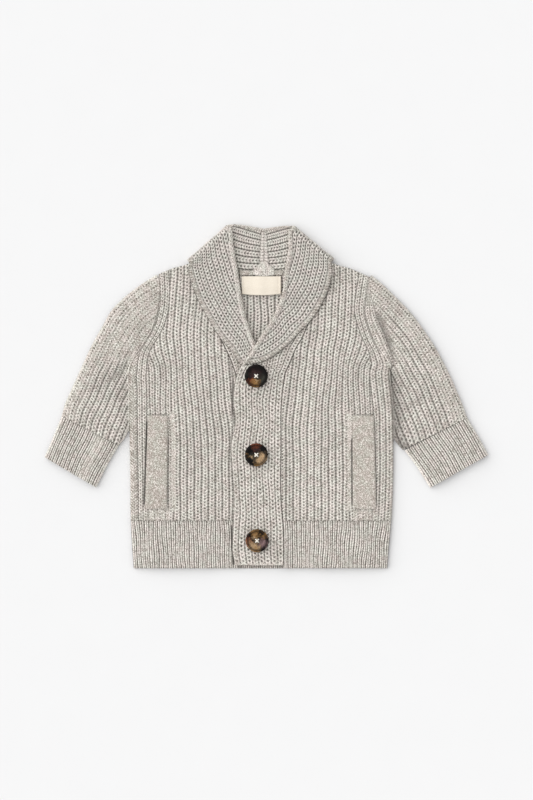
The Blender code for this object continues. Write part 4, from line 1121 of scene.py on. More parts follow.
def collar_keys(side):
    """The collar's sections from the front break round the shoulder to the centre back.

    Each has the ends of the stand's and the fall's middle lines (seam, roll, free), the direction
    from the stand to the fall, whether it lies on the front, how far it lies behind the neck (0 in
    front, 1 behind) and how far it stands up.
    """
    sign = SIDES[side]
    roll_inset = LAYER / 2 + WALL / 2
    keys = []

    def add(seam, roll, free, out, grounded=False, behind=0.0, lift=0.0):
        ends = dict(seam=seam, roll=roll, free=free)
        keys.append(dict(**ends, out=out, grounded=grounded, behind=behind, lift=lift))

    for at in np.linspace(0, 1, FRONT_KEYS):
        place = row_at(COLLAR_FRONT[side], at)
        seam_x = read(NECK_SEAM, "y", side, place["seam_y"]) - sign * 2 * SEAM_GAP
        seam = np.array([seam_x, place["seam_y"]])
        roll, free = (np.array([place[f"{end}_x"], place[f"{end}_y"]]) for end in ("roll", "free"))
        roll = roll - (roll - seam) / np.linalg.norm(roll - seam) * roll_inset
        seam_z, roll_z = (float(strip_base(*spot, side)) + WALL / 2 for spot in (seam, roll))
        free_z = float(strip_base(*free, side)) + LAYER + FALL_CLEARANCE + WALL / 2
        spots = np.append(seam, seam_z), np.append(roll, roll_z + LAYER / 2), np.append(free, free_z)
        add(*spots, np.array([0.0, 0.0, 1.0]), grounded=True)

    axis_z = 1.5 * LAYER + WALL / 2
    axis = {name: np.array([x, y, axis_z]) for name, (x, y) in COLLAR_TURN[side].items()}
    run = axis["free"] - axis["roll"]
    outward = np.array([-run[1], run[0], 0.0]) * sign
    outward /= np.linalg.norm(outward)
    inward = (axis["seam"] - axis["roll"]) / np.linalg.norm(axis["seam"] - axis["roll"])
    for angle in np.radians(np.linspace(0, 180, TURN_KEYS)):
        out = np.array([0, 0, math.cos(angle)]) + outward * math.sin(angle)
        corner = inward * ROLL_CORNER * math.sin(angle)
        turned = (1 - math.cos(angle)) / 2
        corner[:2] += (np.array(ROLL_BEHIND[side]) - axis["roll"][:2]) * turned
        seam, free = axis["seam"] + out * (LAYER / 2), axis["free"] + out * (1.5 * LAYER)
        roll = axis["roll"] + out * LAYER + corner
        add(seam, roll, free, out, behind=angle / math.pi, lift=COLLAR_LIFT * turned)

    stand_z, fall_z = LAYER + WALL / 2, WALL / 2
    first = COLLAR_BACK["section"][0]
    for at in np.linspace(first, 1, BACK_KEYS):
        place = row_at(COLLAR_BACK, at)
        shift = CENTRE_BACK * at + sign * SEAM_GAP * ease((at - 0.9) / 0.1)
        seam_x, roll_x, free_x = (sign * place[name] + shift for name in ("seam_x", "roll_x", "free_x"))
        roll_y = place["roll_y"] + COLLAR_LOBE[side] * (1 - at)
        add(
            np.array([seam_x, top_edge(seam_x) + 2 * SEAM_GAP, stand_z]),
            np.array([roll_x, roll_y - roll_inset, (stand_z + fall_z) / 2]),
            np.array([free_x, place["free_y"], fall_z]),
            np.array([0.0, 0.0, -1.0]),
            behind=1.0,
            lift=COLLAR_LIFT * ((1 - at) / (1 - first)) ** 2,
        )
    return keys


def section(key, side, fall_places, stand_places, outer):
    """One section of one face of the collar, from the fall's free edge to the seam.

    fall_places are distances from the free edge. stand_places gives the stand's distances from
    the seam when it is told its length. outer picks the face that shows on the fall. Gives the
    points, their outward directions, the distance of each from the free edge, or past the roll
    from the seam, and the lengths of the fall and the stand.
    """
    out = key["out"]
    half = WALL / 2
    towards = key["roll"] - key["seam"]
    towards = towards - out * towards.dot(out)
    towards /= np.linalg.norm(towards)

    def grounded(line, extra=0.0):
        if key["grounded"]:
            line[:, 2] = strip_base(line[:, 0], line[:, 1], side) + half + extra
        return line

    def laid(start, end, places, length, extra=0.0):
        share = (places / length)[:, None]
        return grounded(part_way(start, end, share), extra) + lift * share**2

    lift = np.array([0.0, 0.0, key["lift"]])
    above = LAYER + FALL_CLEARANCE
    stand_end = grounded((key["roll"] - out * LAYER / 2)[None, :])[0]
    fall_end = grounded((key["roll"] + out * LAYER / 2)[None, :], above)[0]
    middle = (stand_end + fall_end) / 2 + lift
    radius = np.linalg.norm(fall_end - stand_end) / 2
    length, stand_length = (
        np.linalg.norm(end - key[name]) for end, name in ((fall_end, "free"), (stand_end, "seam"))
    )
    from_free, from_seam = np.minimum(fall_places, length - 0.01), stand_places(stand_length)
    fall = laid(key["free"], fall_end, from_free, length, above)
    stand = laid(key["seam"], stand_end, from_seam, stand_length)
    angles = np.radians(np.linspace(90, -90, ROLL_COLUMNS + 2)[1:-1])[:, None]
    turned = out * np.sin(angles) + towards * np.cos(angles)
    sign = 1 if outer else -1
    bent = middle + turned * (radius + half * sign)
    spots = np.vstack([fall + out * half * sign, bent, stand - out * half * sign])
    ways = np.vstack([np.broadcast_to(out, fall.shape), turned, np.broadcast_to(-out, stand.shape)])
    bend = length + (radius + half) * (math.pi / 2 - angles[:, 0])
    where = np.concatenate([from_free, bend, from_seam])
    return spots, ways * sign, where, np.array([length, stand_length])


def between_rows(values, run, at):
    """Values of the sections, read between them at distances along the collar."""
    i = np.clip(np.searchsorted(run, at, side="right") - 1, 0, len(run) - 2)
    t = (at - run[i]) / np.maximum(run[i + 1] - run[i], 1e-9)
    t = t.reshape(t.shape + (1,) * (values.ndim - 1))
    return values[i] * (1 - t) + values[i + 1] * t


def collar(side, material):
    k, stand_k = KNITS["collar"], KNITS["stand"]
    cloth = Cloth()
    keys = collar_keys(side)
    centres = np.array([0.55 * key["roll"] + 0.45 * key["free"] for key in keys])
    run = np.concatenate([[0], np.cumsum(np.linalg.norm(np.diff(centres, axis=0), axis=1))])
    end, turn_at = run[-1], run[LAST_FRONT_KEY]
    behind = np.array([key["behind"] for key in keys])
    fall_fine = np.concatenate([EDGE_STEPS, [1.5, 2.6, 3.8], steps(PLAIN_EDGE, FALL_REACH, FALL_STEP)])
    fall_coarse = np.concatenate([[0, 0.85, 1.5], np.linspace(6, FALL_REACH, 12)])
    fall_lining = np.concatenate([[0.0], np.linspace(4, FALL_REACH, 9)])

    def stand_fine(length):
        inside = steps(EDGE_WIDTH, STAND_REACH, STAND_STEP)[::-1]
        return np.minimum(np.concatenate([inside, EDGE_STEPS[::-1]]), length - 0.01)

    def stand_by_ribs(length):
        inside = np.linspace(length - 0.01, EDGE_WIDTH, STAND_RIBS * 10 + 1)
        return np.concatenate([inside, EDGE_STEPS[::-1]])

    def stand_coarse(length):
        return np.linspace(length - 0.01, 0, 8)

    def lay(rows, fall_places, stand_places, outer):
        made = [section(key, side, fall_places, stand_places, outer) for key in keys]
        values = [between_rows(np.array(v), run, rows) for v in zip(*made)]
        return *values, between_rows(behind, run, rows)[:, None], len(fall_places) + ROLL_COLUMNS

    def fall_relief(spots, at, along, to_roll, back_part):
        """Ribs between a plain edge and a plain roll, with a line of painted shade along each."""
        from_edge = at - PLAIN_EDGE
        lean = uneven(spots[..., 0], spots[..., 1], "collar_ribs") * ease(from_edge / 4)
        relief = knit(from_edge / k["rib"] + lean, along, "collar")
        strip = legs(0.5 + 0.4 * (PLAIN_EDGE - at) / PLAIN_EDGE, along, tone=STRIP_TONE)
        relief = mixture(relief, strip, ease((PLAIN_EDGE + 0.3 - at) / 0.9))
        # The roll: paler yarn with painted light, and its own share of painted shade.
        strip = legs(0.5 + 0.1 * to_roll, along, ROLL_DEPTH, ROLL_SHADE[side], ROLL_PALENESS_AND_PAINTED_LIGHT[side])
        depth, shade, tone = mixture(relief, strip, ease((ROLL_EDGE - to_roll) / 0.8))
        line, roll_line = bell(from_edge, LINE_WIDTH), bell(to_roll - ROLL_EDGE, ROLL_LINE_WIDTH)
        depth = np.maximum(depth, PLAIN_LINE["depth"] * line + ROLL_LINE["depth"] * roll_line)
        shade = np.maximum(shade, PLAIN_LINE["dark"] * line + ROLL_LINE[side] * roll_line)
        at_turn = ease(1.6 * (1 - np.abs(2 * back_part - 1)))
        return edge((depth, shade, tone), at, **blend(ON_CLOTH, TURN_EDGE, at_turn))

    def stand_relief(x, at, along, length, to_centre):
        """Ribs that dip towards the centre seam, below a plain top."""
        dip = STAND_DIP * (at / length) * (1 - np.abs(x - CENTRE_BACK) / NECK_REACH)
        ribs = (at + dip) / length * STAND_RIBS
        strip = legs(0.5 + 0.5 * (ribs - STAND_RIBS), along, tone=STAND_TOP_TONE)
        relief = mixture(knit(ribs, along, "stand"), strip, ease((ribs - STAND_RIBS) / 0.12))
        return edge(centre_seam(relief, to_centre, at), at, **SEAM)

    def face(rows, fall_places, stand_places):
        """The face that shows: the fall in front, and the stand behind the neck."""
        spots, ways, where, lengths, back_part, falls = lay(rows, fall_places, stand_places, True)
        along = over(rows, where)
        in_front = ease((0.7 - back_part) / 0.3)
        to_roll = lengths[:, :1] - where[:, :falls]
        to_centre = (end - rows)[:, None]
        fall = fall_relief(spots[:, :falls], where[:, :falls], along[:, :falls], to_roll, back_part)
        stand = stand_relief(
            spots[:, falls:, 0], where[:, falls:], along[:, falls:], lengths[:, 1:], to_centre
        )
        shows = np.maximum(in_front, to_roll < 0)
        relief = [np.hstack([a * shows, b * (1 - in_front)]) for a, b in zip(fall, stand)]
        relief = edge(relief, rows[:, None], **JOIN)
        depth, shade, tone = edge(relief, to_centre, **CENTRE_EDGE)
        return cloth.grid(spots - ways * depth[..., None], where, along, shade, tone)

    def lining(rows, stand_places, ribbed):
        """The face folded in, whose stand shows in front, beside the seam."""
        spots, ways, where, lengths, _, falls = lay(rows, fall_lining, stand_places, False)
        along = over(rows, where)
        if not ribbed:
            # The plain lining takes an even painted shade.
            return cloth.grid(spots, where, along, 0.2)
        pitch = part_way(lengths[:, 1:] / BAND_RIBS, STAND_RIB, ease(rows / 16)[:, None])
        relief = knit(where[:, falls:] / pitch, along[:, falls:], "band")
        relief = edged(relief, (where[:, falls:], SEAM), (rows[:, None], JOIN))
        relief = [np.hstack([np.zeros_like(where[:, :falls]), value]) for value in relief]
        return cloth.grid(spots - ways * relief[0][..., None], where / STAND_RIB, along, *relief[1:])

    step, back_step = (kind["row"] / ROWS_PER_STITCH for kind in (k, stand_k))
    last = -len(EDGE_STEPS)
    outside = [
        face(ramp(0, turn_at + EDGE_WIDTH, step)[:last], fall_fine, stand_coarse),
        face(ramp(turn_at - EDGE_WIDTH, end, back_step)[1 - last :], fall_coarse, stand_by_ribs),
    ]
    inside = [
        lining(ramp(0, STAND_SHOWS_TO + EDGE_WIDTH, step)[:last], stand_fine, True),
        lining(np.linspace(STAND_SHOWS_TO + 1, end, 40), stand_coarse, False),
    ]
    for front_part, back_part in (outside, inside):
        cloth.strip(front_part[-1], back_part[0])
    for column in (0, -1):
        cloth.strip(*(np.concatenate([part[:, column] for part in half]) for half in (outside, inside)))
    cloth.strip(outside[0][0], inside[0][0])
    cloth.strip(outside[1][-1], inside[1][-1])
    return cloth.make(f"collar_{side}", material)


def centre_seam(relief, to_centre, along):
    """The puckered seam at the centre back, across the ribs of the stand, with painted shade at its
    puckers and in its groove.
    """
    depth, shade, tone = relief
    beside = ease((CENTRE_SEAM["half"] - to_centre) / 1.2)
    groove = bell(to_centre - CENTRE_SEAM["groove"], 0.7)
    turns = along / CENTRE_SEAM["pucker"] + CENTRE_SEAM["lean"] * to_centre
    puckers = (0.5 + 0.5 * np.cos(math.tau * turns)) ** 2
    depth = depth * (1 - 0.85 * beside) + 0.7 * puckers * beside + 0.6 * groove
    shade = shade * (1 - 0.85 * beside) + 0.45 * puckers * beside
    return depth, np.clip(np.maximum(shade, 0.5 * groove), 0, 1), tone


# ---------------------------------------------------------------- sleeves and cuffs
TUBE_STEPS = np.array([0.0, 0.08, 0.3, 0.7, 1.2])
TUBE_INSET = 1.6
SLOPE_STEP = 0.05
STEEPEST = 4
INNER_ROWS = 24
INNER_COLUMNS = 14


def arch(distance, reach):
    """How far a round edge has still to rise (1 at the edge, 0 from reach on)."""
    part = 1 - np.clip(distance / reach, 0, 1)
    return 1 - np.sqrt(1 - part**2)


def tube(name, lines, rows, place, ribbing, material, kind, fine_step):
    """A flattened tube of knit.

    lines(rows) gives the outer ends, inner ends, heights, and the inner edge's height, roundness
    and how far it is sewn on, of sections at distances along the tube. place counts ribs.
    """
    cloth = Cloth()

    def lay(rows, columns):
        outer, inner, *heights = lines(rows)
        width = np.linalg.norm(inner - outer, axis=1)[:, None]
        away = (inner - outer) / width
        distance = columns(width)
        spot = outer[:, None, :] + away[:, None, :] * distance[..., None]
        return spot[..., 0], spot[..., 1], away, distance, width, [h[:, None] for h in heights]

    def height_at(distance, width, height, inner_low, inner_round, sewn):
        reach = np.minimum(TUBE_ROUND, width / 2)
        low = (height - TUBE_EDGE_HEIGHT) * arch(distance, reach)
        turned = arch(width - distance, np.minimum(inner_round, width / 2))
        flat = 1 - ease((width - distance) / np.minimum(SEWN_ROUND, width / 2))
        return height - low - (height - inner_low) * (turned * (1 - sewn) + flat * sewn)

    def fine(width):
        held = np.clip(steps(0, SLEEVE_REACH, fine_step), TUBE_INSET, width - TUBE_INSET)
        first = np.broadcast_to(TUBE_STEPS, (len(width), len(TUBE_STEPS)))
        return np.hstack([first, held, width - TUBE_STEPS[::-1]])

    x, y, away, distance, width, heights = lay(rows, fine)
    along = over(rows, distance)
    z = height_at(distance, width, *heights)
    beyond, before = (height_at(distance + step, width, *heights) for step in (SLOPE_STEP, -SLOPE_STEP))
    slope = np.clip((beyond - before) / (2 * SLOPE_STEP), -STEEPEST, STEEPEST)
    ribs = place(distance, width, x, y) + sway(x, y, "tube_ribs", distance, width, 8)
    ribbed, plain, painted_shade = ribbing(distance, width, y)
    relief = knit(ribs, along, kind, ribbed, plain)
    depth, shade, tone = edge(relief, from_ends(rows), **TUBE_END)
    from_side = np.minimum(distance, width - distance)
    on_edge = ease(from_side / 1.5)
    depth, shade = depth * on_edge, shade * on_edge
    # Painted shade along the outer edge.
    shade = np.maximum(shade, EDGE_PAINTED_SHADE * ease((EDGE_PAINTED_SHADE_WIDTH - distance) / EDGE_PAINTED_SHADE_WIDTH))
    # Painted shade beside the side and in the creases' troughs, then along the listed lines.
    painted_shade = np.maximum(painted_shade, CREASE_SHADE * np.maximum(0, -creases(x, y)) * on_edge)
    shade = np.maximum(shade + painted_shade * (1 - shade), painted_shade_lines(x, y))
    lean = 1 / np.sqrt(1 + slope**2)
    x = x + away[:, None, 0] * slope * lean * depth
    y = y + away[:, None, 1] * slope * lean * depth
    z = z - lean * depth + (creases(x, y) + uneven(x, y, "tube_face")) * on_edge
    top = cloth.grid(points(x, y, z), ribs, along, shade, tone)

    def flat(width):
        held = np.clip(steps(0, SLEEVE_REACH, 5 * fine_step / 3), UNDER_ROUND, width - UNDER_ROUND)
        first = np.broadcast_to(UNDER_STEPS, (len(width), len(UNDER_STEPS)))
        return np.hstack([first, held, width - UNDER_STEPS[::-1]])

    under_rows = np.linspace(rows[0], rows[-1], max(8, round((rows[-1] - rows[0]) / UNDER_ROW)))
    x, y, _, distance, width, _ = lay(under_rows, flat)
    along = over(under_rows, distance)
    ribs = place(distance, width, x, y)
    depth, shade, tone = knit(ribs, along, kind)
    round_up = UNDER_ROUND_HEIGHT * arch(np.minimum(distance, width - distance), UNDER_ROUND)
    raised = UNDER_RELIEF * depth + rim(from_ends(under_rows), UNDER_END, EDGE_WIDTH)
    raised = np.minimum(raised + UNDER_CREASES * np.maximum(0, -creases(x, y)), UNDER_RISE_TUBE)
    under = cloth.grid(points(x, y, round_up + raised), ribs, along, shade, tone)
    cloth.strip(top[:, 0], under[:, 0])
    cloth.strip(top[:, -1], under[:, -1])

    inner_rows = np.linspace(rows[0], rows[-1], INNER_ROWS)
    skins = []
    x, y, _, distance, width, heights = lay(
        inner_rows, lambda width: WALL / 2 + (width - WALL) * np.linspace(0, 1, INNER_COLUMNS)
    )
    middle = WALL / 2 + SEAM_GAP
    ceiling = np.maximum(height_at(distance, width, *heights) - WALL, middle + 0.3)
    ground = np.minimum(np.full_like(ceiling, WALL / 2 + 0.4), ceiling - 0.1)
    for skin in (ceiling, ground):
        skin[:, [0, -1]] = middle
        # Each inner skin takes an even painted shade.
        skins.append(cloth.grid(points(x, y, skin), distance, inner_rows[:, None], 0.5))
    upper, lower = skins
    for end in (0, -1):
        cloth.strip(top[end], upper[end])
        cloth.strip(under[end], lower[end])
        for column in (0, -1):
            corner = (top[end][column], under[end][column], lower[end][column], upper[end][column])
            cloth.faces.append(np.array([corner]))
    return cloth.make(name, material)


def ends_at(rows_of, end, at):
    """The places of a tube's outer or inner ends, at shares along it."""
    return np.stack([read(rows_of, "section", f"{end}_{axis}", at) for axis in "xy"], -1)


def along_outer(rows_of, count):
    """Shares along a table of sections, and how far along its outer edge each one is."""
    shares = np.linspace(0, 1, count)
    ends = ends_at(rows_of, "outer", shares)
    return shares, np.concatenate([[0], np.cumsum(np.linalg.norm(np.diff(ends, axis=0), axis=1))])


def sleeve(side, material):
    sign = SIDES[side]
    rows_of = SLEEVE[side]
    shares, run = along_outer(rows_of, 200)

    def lines(rows):
        at = np.interp(rows, run, shares)
        inner_y = read(rows_of, "section", "inner_y", at)
        beside = read(BODY_EDGE, "y", side, inner_y) + sign * 2 * SEAM_GAP
        below = read(SLEEVE_INNER[side], "y", "x", inner_y)
        inner = np.stack([np.where(inner_y >= SIDE_CONTACT[side], beside, below), inner_y], -1)
        height = part_way(ARMHOLE_HEIGHT, SLEEVE_HEIGHT, ease(at / SLEEVE_SWELLS_BY))
        height = height + (CUFF_HEIGHT - SLEEVE_HEIGHT) * fade(at, SLEEVE_SINKS_FROM, 1)
        sewn = fade(inner_y, *ARMHOLE_FROM[side])
        inner_low = part_way(TUBE_EDGE_HEIGHT, ARMHOLE_EDGE_HEIGHT, sewn)
        inner_round = np.full(len(rows), INNER_ROUND)
        return ends_at(rows_of, "outer", at), inner, height, inner_low, inner_round, sewn

    def ribbing(distance, width, y):
        """The ribs fade beside the armhole and along the outer edge, and painted shade lies by the
        side.
        """
        by_armhole = ease((CAP_REACH[side] - (width - distance)) / 9) * ease((y - CAP_FROM) / 14)
        by_armhole = by_armhole * CAP_FADES[side]
        outside = ease((OUTSIDE_REACH - distance) / 4)
        shaded = bell(width - distance, SIDE_SHADE_WIDTH) * ease((SIDE_SHADE_TOP - y) / 12)
        fades = np.maximum(CAP_RIBS * by_armhole, OUTSIDE_FADES * outside)
        return 1 - fades, CAP_EYES * by_armhole, SIDE_SHADE[side] * shaded

    def place(distance, width, x, y):
        """Ribs count from the outer edge, and on the left two more of them follow the armhole."""
        ribs = distance / KNITS["sleeve"]["rib"]
        if side == "right":
            return ribs
        seam, fold = read(BODY_EDGE, "y", side, y), read(ARMHOLE_FOLD, "y", "x", y)
        part = (x - seam) / np.maximum(fold - seam, 0.1)
        return np.where((part < 1) & (y > ARMHOLE_FOLD["y"][0]), ARMHOLE_RIB + 2 * part, ribs)

    rows = ramp(0, run[-1], KNITS["sleeve"]["row"] / ROWS_PER_STITCH)
    return tube(f"sleeve_{side}", lines, rows, place, ribbing, material, "sleeve", COLUMN)


def cuff(side, material):
    rows_of = CUFF[side]
    shares, run = along_outer(rows_of, 50)

    def lines(rows):
        at = np.interp(rows, run, shares)
        constant = [np.full(len(rows), v) for v in (CUFF_HEIGHT, TUBE_EDGE_HEIGHT, TUBE_ROUND, 0.0)]
        return ends_at(rows_of, "outer", at), ends_at(rows_of, "inner", at), *constant

    def ribbing(distance, width, y):
        part = distance / width
        first, last = CUFF_PLAIN_BETWEEN
        smooth = CUFF_PLAIN[side] * ease((part - first) / 0.06) * ease((last - part) / 0.06)
        return 1 - smooth, smooth, 0.0

    def place(distance, width, x, y):
        return distance / width * CUFF_RIBS[side]

    rows = ramp(0, run[-1], KNITS["fine"]["row"] / ROWS_PER_STITCH)
    return tube(f"cuff_{side}", lines, rows, place, ribbing, material, "fine", 0.5)


# ---------------------------------------------------------------- welts, tape and label
def welt(side, material):
    cloth = Cloth()

    def lay(rows, distances):
        inner, outer = (welt_edge(side, which, rows)[:, None] for which in ("inner", "outer"))
        width = np.abs(outer - inner)
        distance = distances(width)
        return inner + SIDES[side] * distance, over(rows, distance), distance, width

    def base(x, y):
        return front_base(x, y, side) + WALL + WELT_GAP + creases(x, y) + uneven(x, y, "face")

    rows = ramp(*WELT_HEIGHTS, KNITS["jersey"]["row"] / ROWS_PER_STITCH)
    x, y, distance, width = lay(rows, lambda width: by_ribs(width, WELT_WALES, 8))
    wales = distance / width * WELT_WALES
    beside, across = (WELT_SLOPE, WELT_EDGE) if side == "right" else (WELT_EDGE, WELT_SLOPE)
    sides = (distance, beside), (width - distance, across)
    depth, shade, tone = edged(knit(wales, y, "jersey"), *sides, (from_ends(rows), WELT_SLOPE))
    top = cloth.grid(points(x, y, base(x, y) + WELT_THICK - depth), wales, y, shade, tone)
    x, y, _, _ = lay(np.linspace(*WELT_HEIGHTS, 24), lambda width: width * np.linspace(0, 1, 6))
    # The underside takes an even painted shade.
    cloth.close(top, cloth.grid(points(x, y, base(x, y)), x, y, 0.3))
    return cloth.make(f"welt_{side}", material)


def back_top(x, y):
    return back_rise(x, y) + LAYER


def neck_tape(material):
    """The tape over the back neck seam, a narrow strip of plain knit."""
    cloth = Cloth()
    rows = ramp(TAPE["bottom"], TAPE["top"], 0.4)[:, None]
    x = np.linspace(TAPE["right"], TAPE["left"], 121)[None, :] + 0 * rows
    depth, *colour = knit((rows - TAPE["bottom"]) / TAPE["wale"] + 0 * x, x - TAPE["right"], "jersey")
    depth, shade, tone = edge((0.8 * depth, *colour), from_ends(rows[:, 0]) + 0 * x, **TAPE_EDGE)
    top = cloth.grid(points(x, rows, back_top(x, rows) + TAPE["thick"] - depth), rows, x, shade, tone)
    rows = np.linspace(TAPE["bottom"], TAPE["top"], 4)[:, None]
    x = x[:1, ::12] + 0 * rows
    # The underside takes an even painted shade.
    cloth.close(top, cloth.grid(points(x, rows, back_top(x, rows)), rows, x, 0.3))
    return cloth.make("neck_tape", material)


def seam_end(material):
    """The puckered end of the collar's centre seam, opened flat over the tape."""
    cloth = Cloth()
    u = np.linspace(-1, 1, 49)[None, :]
    v = np.linspace(0, 1, 33)[:, None]
    spread = SEAM_END["half_width"] * (0.32 + 0.68 * ease(v / 0.6)) * (1 - 0.1 * ease((v - 0.8) / 0.2))
    x = CENTRE_BACK + u * spread
    y = SEAM_END["top"] + (SEAM_END["bottom"] - SEAM_END["top"]) * (v + 0.06 * (1 - u * u) * v)
    swell = SEAM_END["rise"] * (1 - np.abs(u) ** 3) * np.sin(math.pi * np.clip(0.15 + 0.8 * v, 0, 1))
    depth, shade, tone = knit(2.2 + u * 2.4 + 0 * v, (y - 250) * 1.1, "stand", 0.5, 0.3)
    base = back_top(x, y) + TAPE["thick"] * ease((TAPE["top"] + 1 - y) / 1.5)
    gather = 0.35 * np.sin(9 * u * (1 - 0.5 * v) + 4 * v)
    rims = np.maximum(np.abs(u), np.abs(2 * v - 1)) ** 8
    z = base + 0.5 + (swell + gather * (1 - rims) - 0.5 * depth * (1 - rims))
    top = cloth.grid(points(x, y, z), 0.0, y, shade, tone)
    x, y, z = (values[::4, ::4] for values in (x, y, base + 0.1))
    # The underside takes an even painted shade.
    cloth.close(top, cloth.grid(points(x, y, z), 0.0, 0.0, 0.3))
    return cloth.make("seam_end", material, replaces=False)


def label_share(x):
    """How far along the label a place is."""
    return (x - LABEL["right"]) / (LABEL["left"] - LABEL["right"])


def label_height(x, y):
    """The underside of the label, which bows up between its sewn ends."""
    part = label_share(x)
    bow = LABEL["bow"] * np.sin(np.pi * part) ** 0.7 + 0.15 * np.sin(5 * np.pi * part + 0.6)
    base = back_top(x, LABEL["top"]) - LABEL_SLOPE * ease((LABEL["top"] - 8 - y) / 10)
    return base + np.maximum(0.05, bow * np.sin(np.pi * part) ** 0.3)


def label(material):
    """The woven label, bare, with both ends folded under and sewn down."""
    cloth = Cloth()
    x = steps(LABEL["right"], LABEL["left"], 0.3)[None, :]
    y = steps(LABEL["bottom"], LABEL["top"], 0.5)[:, None]
    from_end = np.minimum(x - LABEL["right"], LABEL["left"] - x)
    from_side = np.minimum(y - LABEL["bottom"], LABEL["top"] - y)
    fold = 0.25 * ease((LABEL_FOLD - from_end) / 0.4) - 0.2 * bell(from_end - LABEL_FOLD, 0.4)
    thick = LABEL["thick"] + fold - rim(from_end, 0.3, 0.6) - rim(from_side, 0.2, 0.6)
    x, y = x + 0 * y, y + 0 * x
    sag = LABEL_SAG * (1 - np.abs(2 * label_share(x) - 1) ** 2)
    sag = sag * (LABEL["top"] - y) / (LABEL["top"] - LABEL["bottom"])
    z = label_height(x, y)
    top, under = (cloth.grid(points(x, y - sag, height), x, y) for height in (z + thick, z))
    cloth.close(top, under)
    return cloth.make("label", material, "label_cloth")


# ---------------------------------------------------------------- thread
def thread(name, runs, radius, material):
    """Stitches of sewing thread: each run of points as a round strand with closed ends."""
    mesh = bmesh.new()
    for run in runs:
        run = np.array(run, float)
        rings = []
        for i, spot in enumerate(run):
            ahead = run[min(i + 1, len(run) - 1)] - run[max(i - 1, 0)]
            ahead /= np.linalg.norm(ahead)
            first = np.cross(ahead, (0.3, 0.2, 1.0) if abs(ahead[2]) < 0.9 else (1.0, 0, 0))
            first /= np.linalg.norm(first)
            second = np.cross(ahead, first)
            ring = []
            for turn in np.arange(THREAD_SIDES) * math.tau / THREAD_SIDES:
                swell = radius * (1 + 0.18 * math.cos(2 * turn + 1.9 * i))
                place = spot + swell * (first * math.cos(turn) + second * math.sin(turn))
                ring.append(mesh.verts.new((place + ORIGIN) * MM))
            rings.append(ring)
        for one, other in zip(rings, rings[1:]):
            for i in range(THREAD_SIDES):
                after = (i + 1) % THREAD_SIDES
                mesh.faces.new((one[i], one[after], other[after], other[i]))
        mesh.faces.new(rings[0][::-1])
        mesh.faces.new(rings[-1])
    bmesh.ops.recalc_face_normals(mesh, faces=mesh.faces)
    data = bpy.data.meshes.new(name)
    mesh.to_mesh(data)
    mesh.free()
    data.shade_smooth()
    data.materials.append(material)
    return data


def arc(start, end, rise, count=9):
    """Points from start to end over a low hump."""
    t = np.linspace(0, 1, count)[:, None]
    path = np.array(start) * (1 - t) + np.array(end) * t
    path[:, 2] += rise * np.sin(np.pi * t[:, 0])
    return path


def button_thread(name, material):
    """The crossed strands that hold a button, from hole to hole and down through them."""
    low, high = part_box(f"button_{name}")
    middle = (np.array(low) + np.array(high)) / 2 / MM - ORIGIN
    floor, deep = high.z / MM - BUTTON_DISH, low.z / MM + STRAND_DEEP
    holes = [
        middle[:2] + BUTTON_HOLE * np.array([math.cos(turn), math.sin(turn)])
        for turn in np.radians((45, 135, 225, 315))
    ]

    def through(hole, aside):
        places = ((0.4, deep), (0.7, floor - STRAND_DEEP), (1.0, floor))
        return [np.append(hole + aside * share, z) for share, z in places]

    runs = []
    for i in (0, 1):
        start, end = holes[i], holes[i + 2]
        ahead = (end - start) / np.linalg.norm(end - start)
        for j, shift in enumerate((-STRAND_ASIDE, STRAND_ASIDE)):
            aside = np.array([-ahead[1], ahead[0]]) * shift
            down, up = through(start, aside), through(end, aside)
            bridge = arc(down[-1], up[-1], STRAND_RISES[i][j])
            bridge[:, 2] += STRAND_ABOVE
            runs.append(np.vstack([down[:-1], bridge, up[-2::-1]]))
    data = thread(f"thread_{name}", runs, STRAND_RADIUS, material)
    return placed(data, f"thread_{name}", "knit")


def label_stitches(material):
    """The small stitches that sew down the label's two ends."""
    of = LABEL_STITCH
    runs = []
    for x in (LABEL["right"] + of["inset"], LABEL["left"] - of["inset"]):
        for y in np.arange(LABEL["bottom"] + of["first"], LABEL["top"] - of["last"], of["apart"]):
            z = float(label_height(x, y)) + LABEL["thick"] + of["above"]
            runs.append(arc((x, y, z), (x, y + of["long"], z), of["rise"], of["points"]))
    data = thread("label_stitches", runs, of["radius"], material)
    return placed(data, "label_stitches", "label_cloth")


# ---------------------------------------------------------------- materials
def node(tree, kind, inputs=(), **settings):
    """A shader node with its settings, and its inputs linked or set."""
    made = tree.nodes.new(kind)
    for name, value in settings.items():
        setattr(made, name, value)
    for socket, value in dict(inputs).items():
        if isinstance(value, bpy.types.NodeSocket):
            tree.links.new(value, made.inputs[socket])
        else:
            made.inputs[socket].default_value = value
    return made


def maths(tree, operation, *values, kind="Math"):
    """What comes of values, each of them a number or a socket."""
    return node(tree, f"ShaderNode{kind}", dict(enumerate(values)), operation=operation).outputs[0]


def sum_of(tree, *parts):
    """The sum of parts, each of them a socket and its factor."""
    total = 0.0
    for value, factor in parts:
        total = maths(tree, "MULTIPLY_ADD", value, factor, total)
    return total


def mixed(tree, factor, first, second, **settings):
    """A colour between two, each of them a colour or a socket."""
    inputs = {0: factor, 6: first, 7: second}
    return node(tree, "ShaderNodeMix", inputs, data_type="RGBA", **settings).outputs[2]


def waves(tree, place, scale, direction):
    inputs = {"Vector": place, "Scale": scale}
    return node(tree, "ShaderNodeTexWave", inputs, bands_direction=direction).outputs["Fac"]


def bump(tree, height, strength, distance):
    """Makes a height into relief on the surface."""
    inputs = {"Strength": strength, "Distance": distance, "Height": height}
    normal = node(tree, "ShaderNodeBump", inputs).outputs["Normal"]
    tree.links.new(normal, tree.nodes["Principled BSDF"].inputs["Normal"])


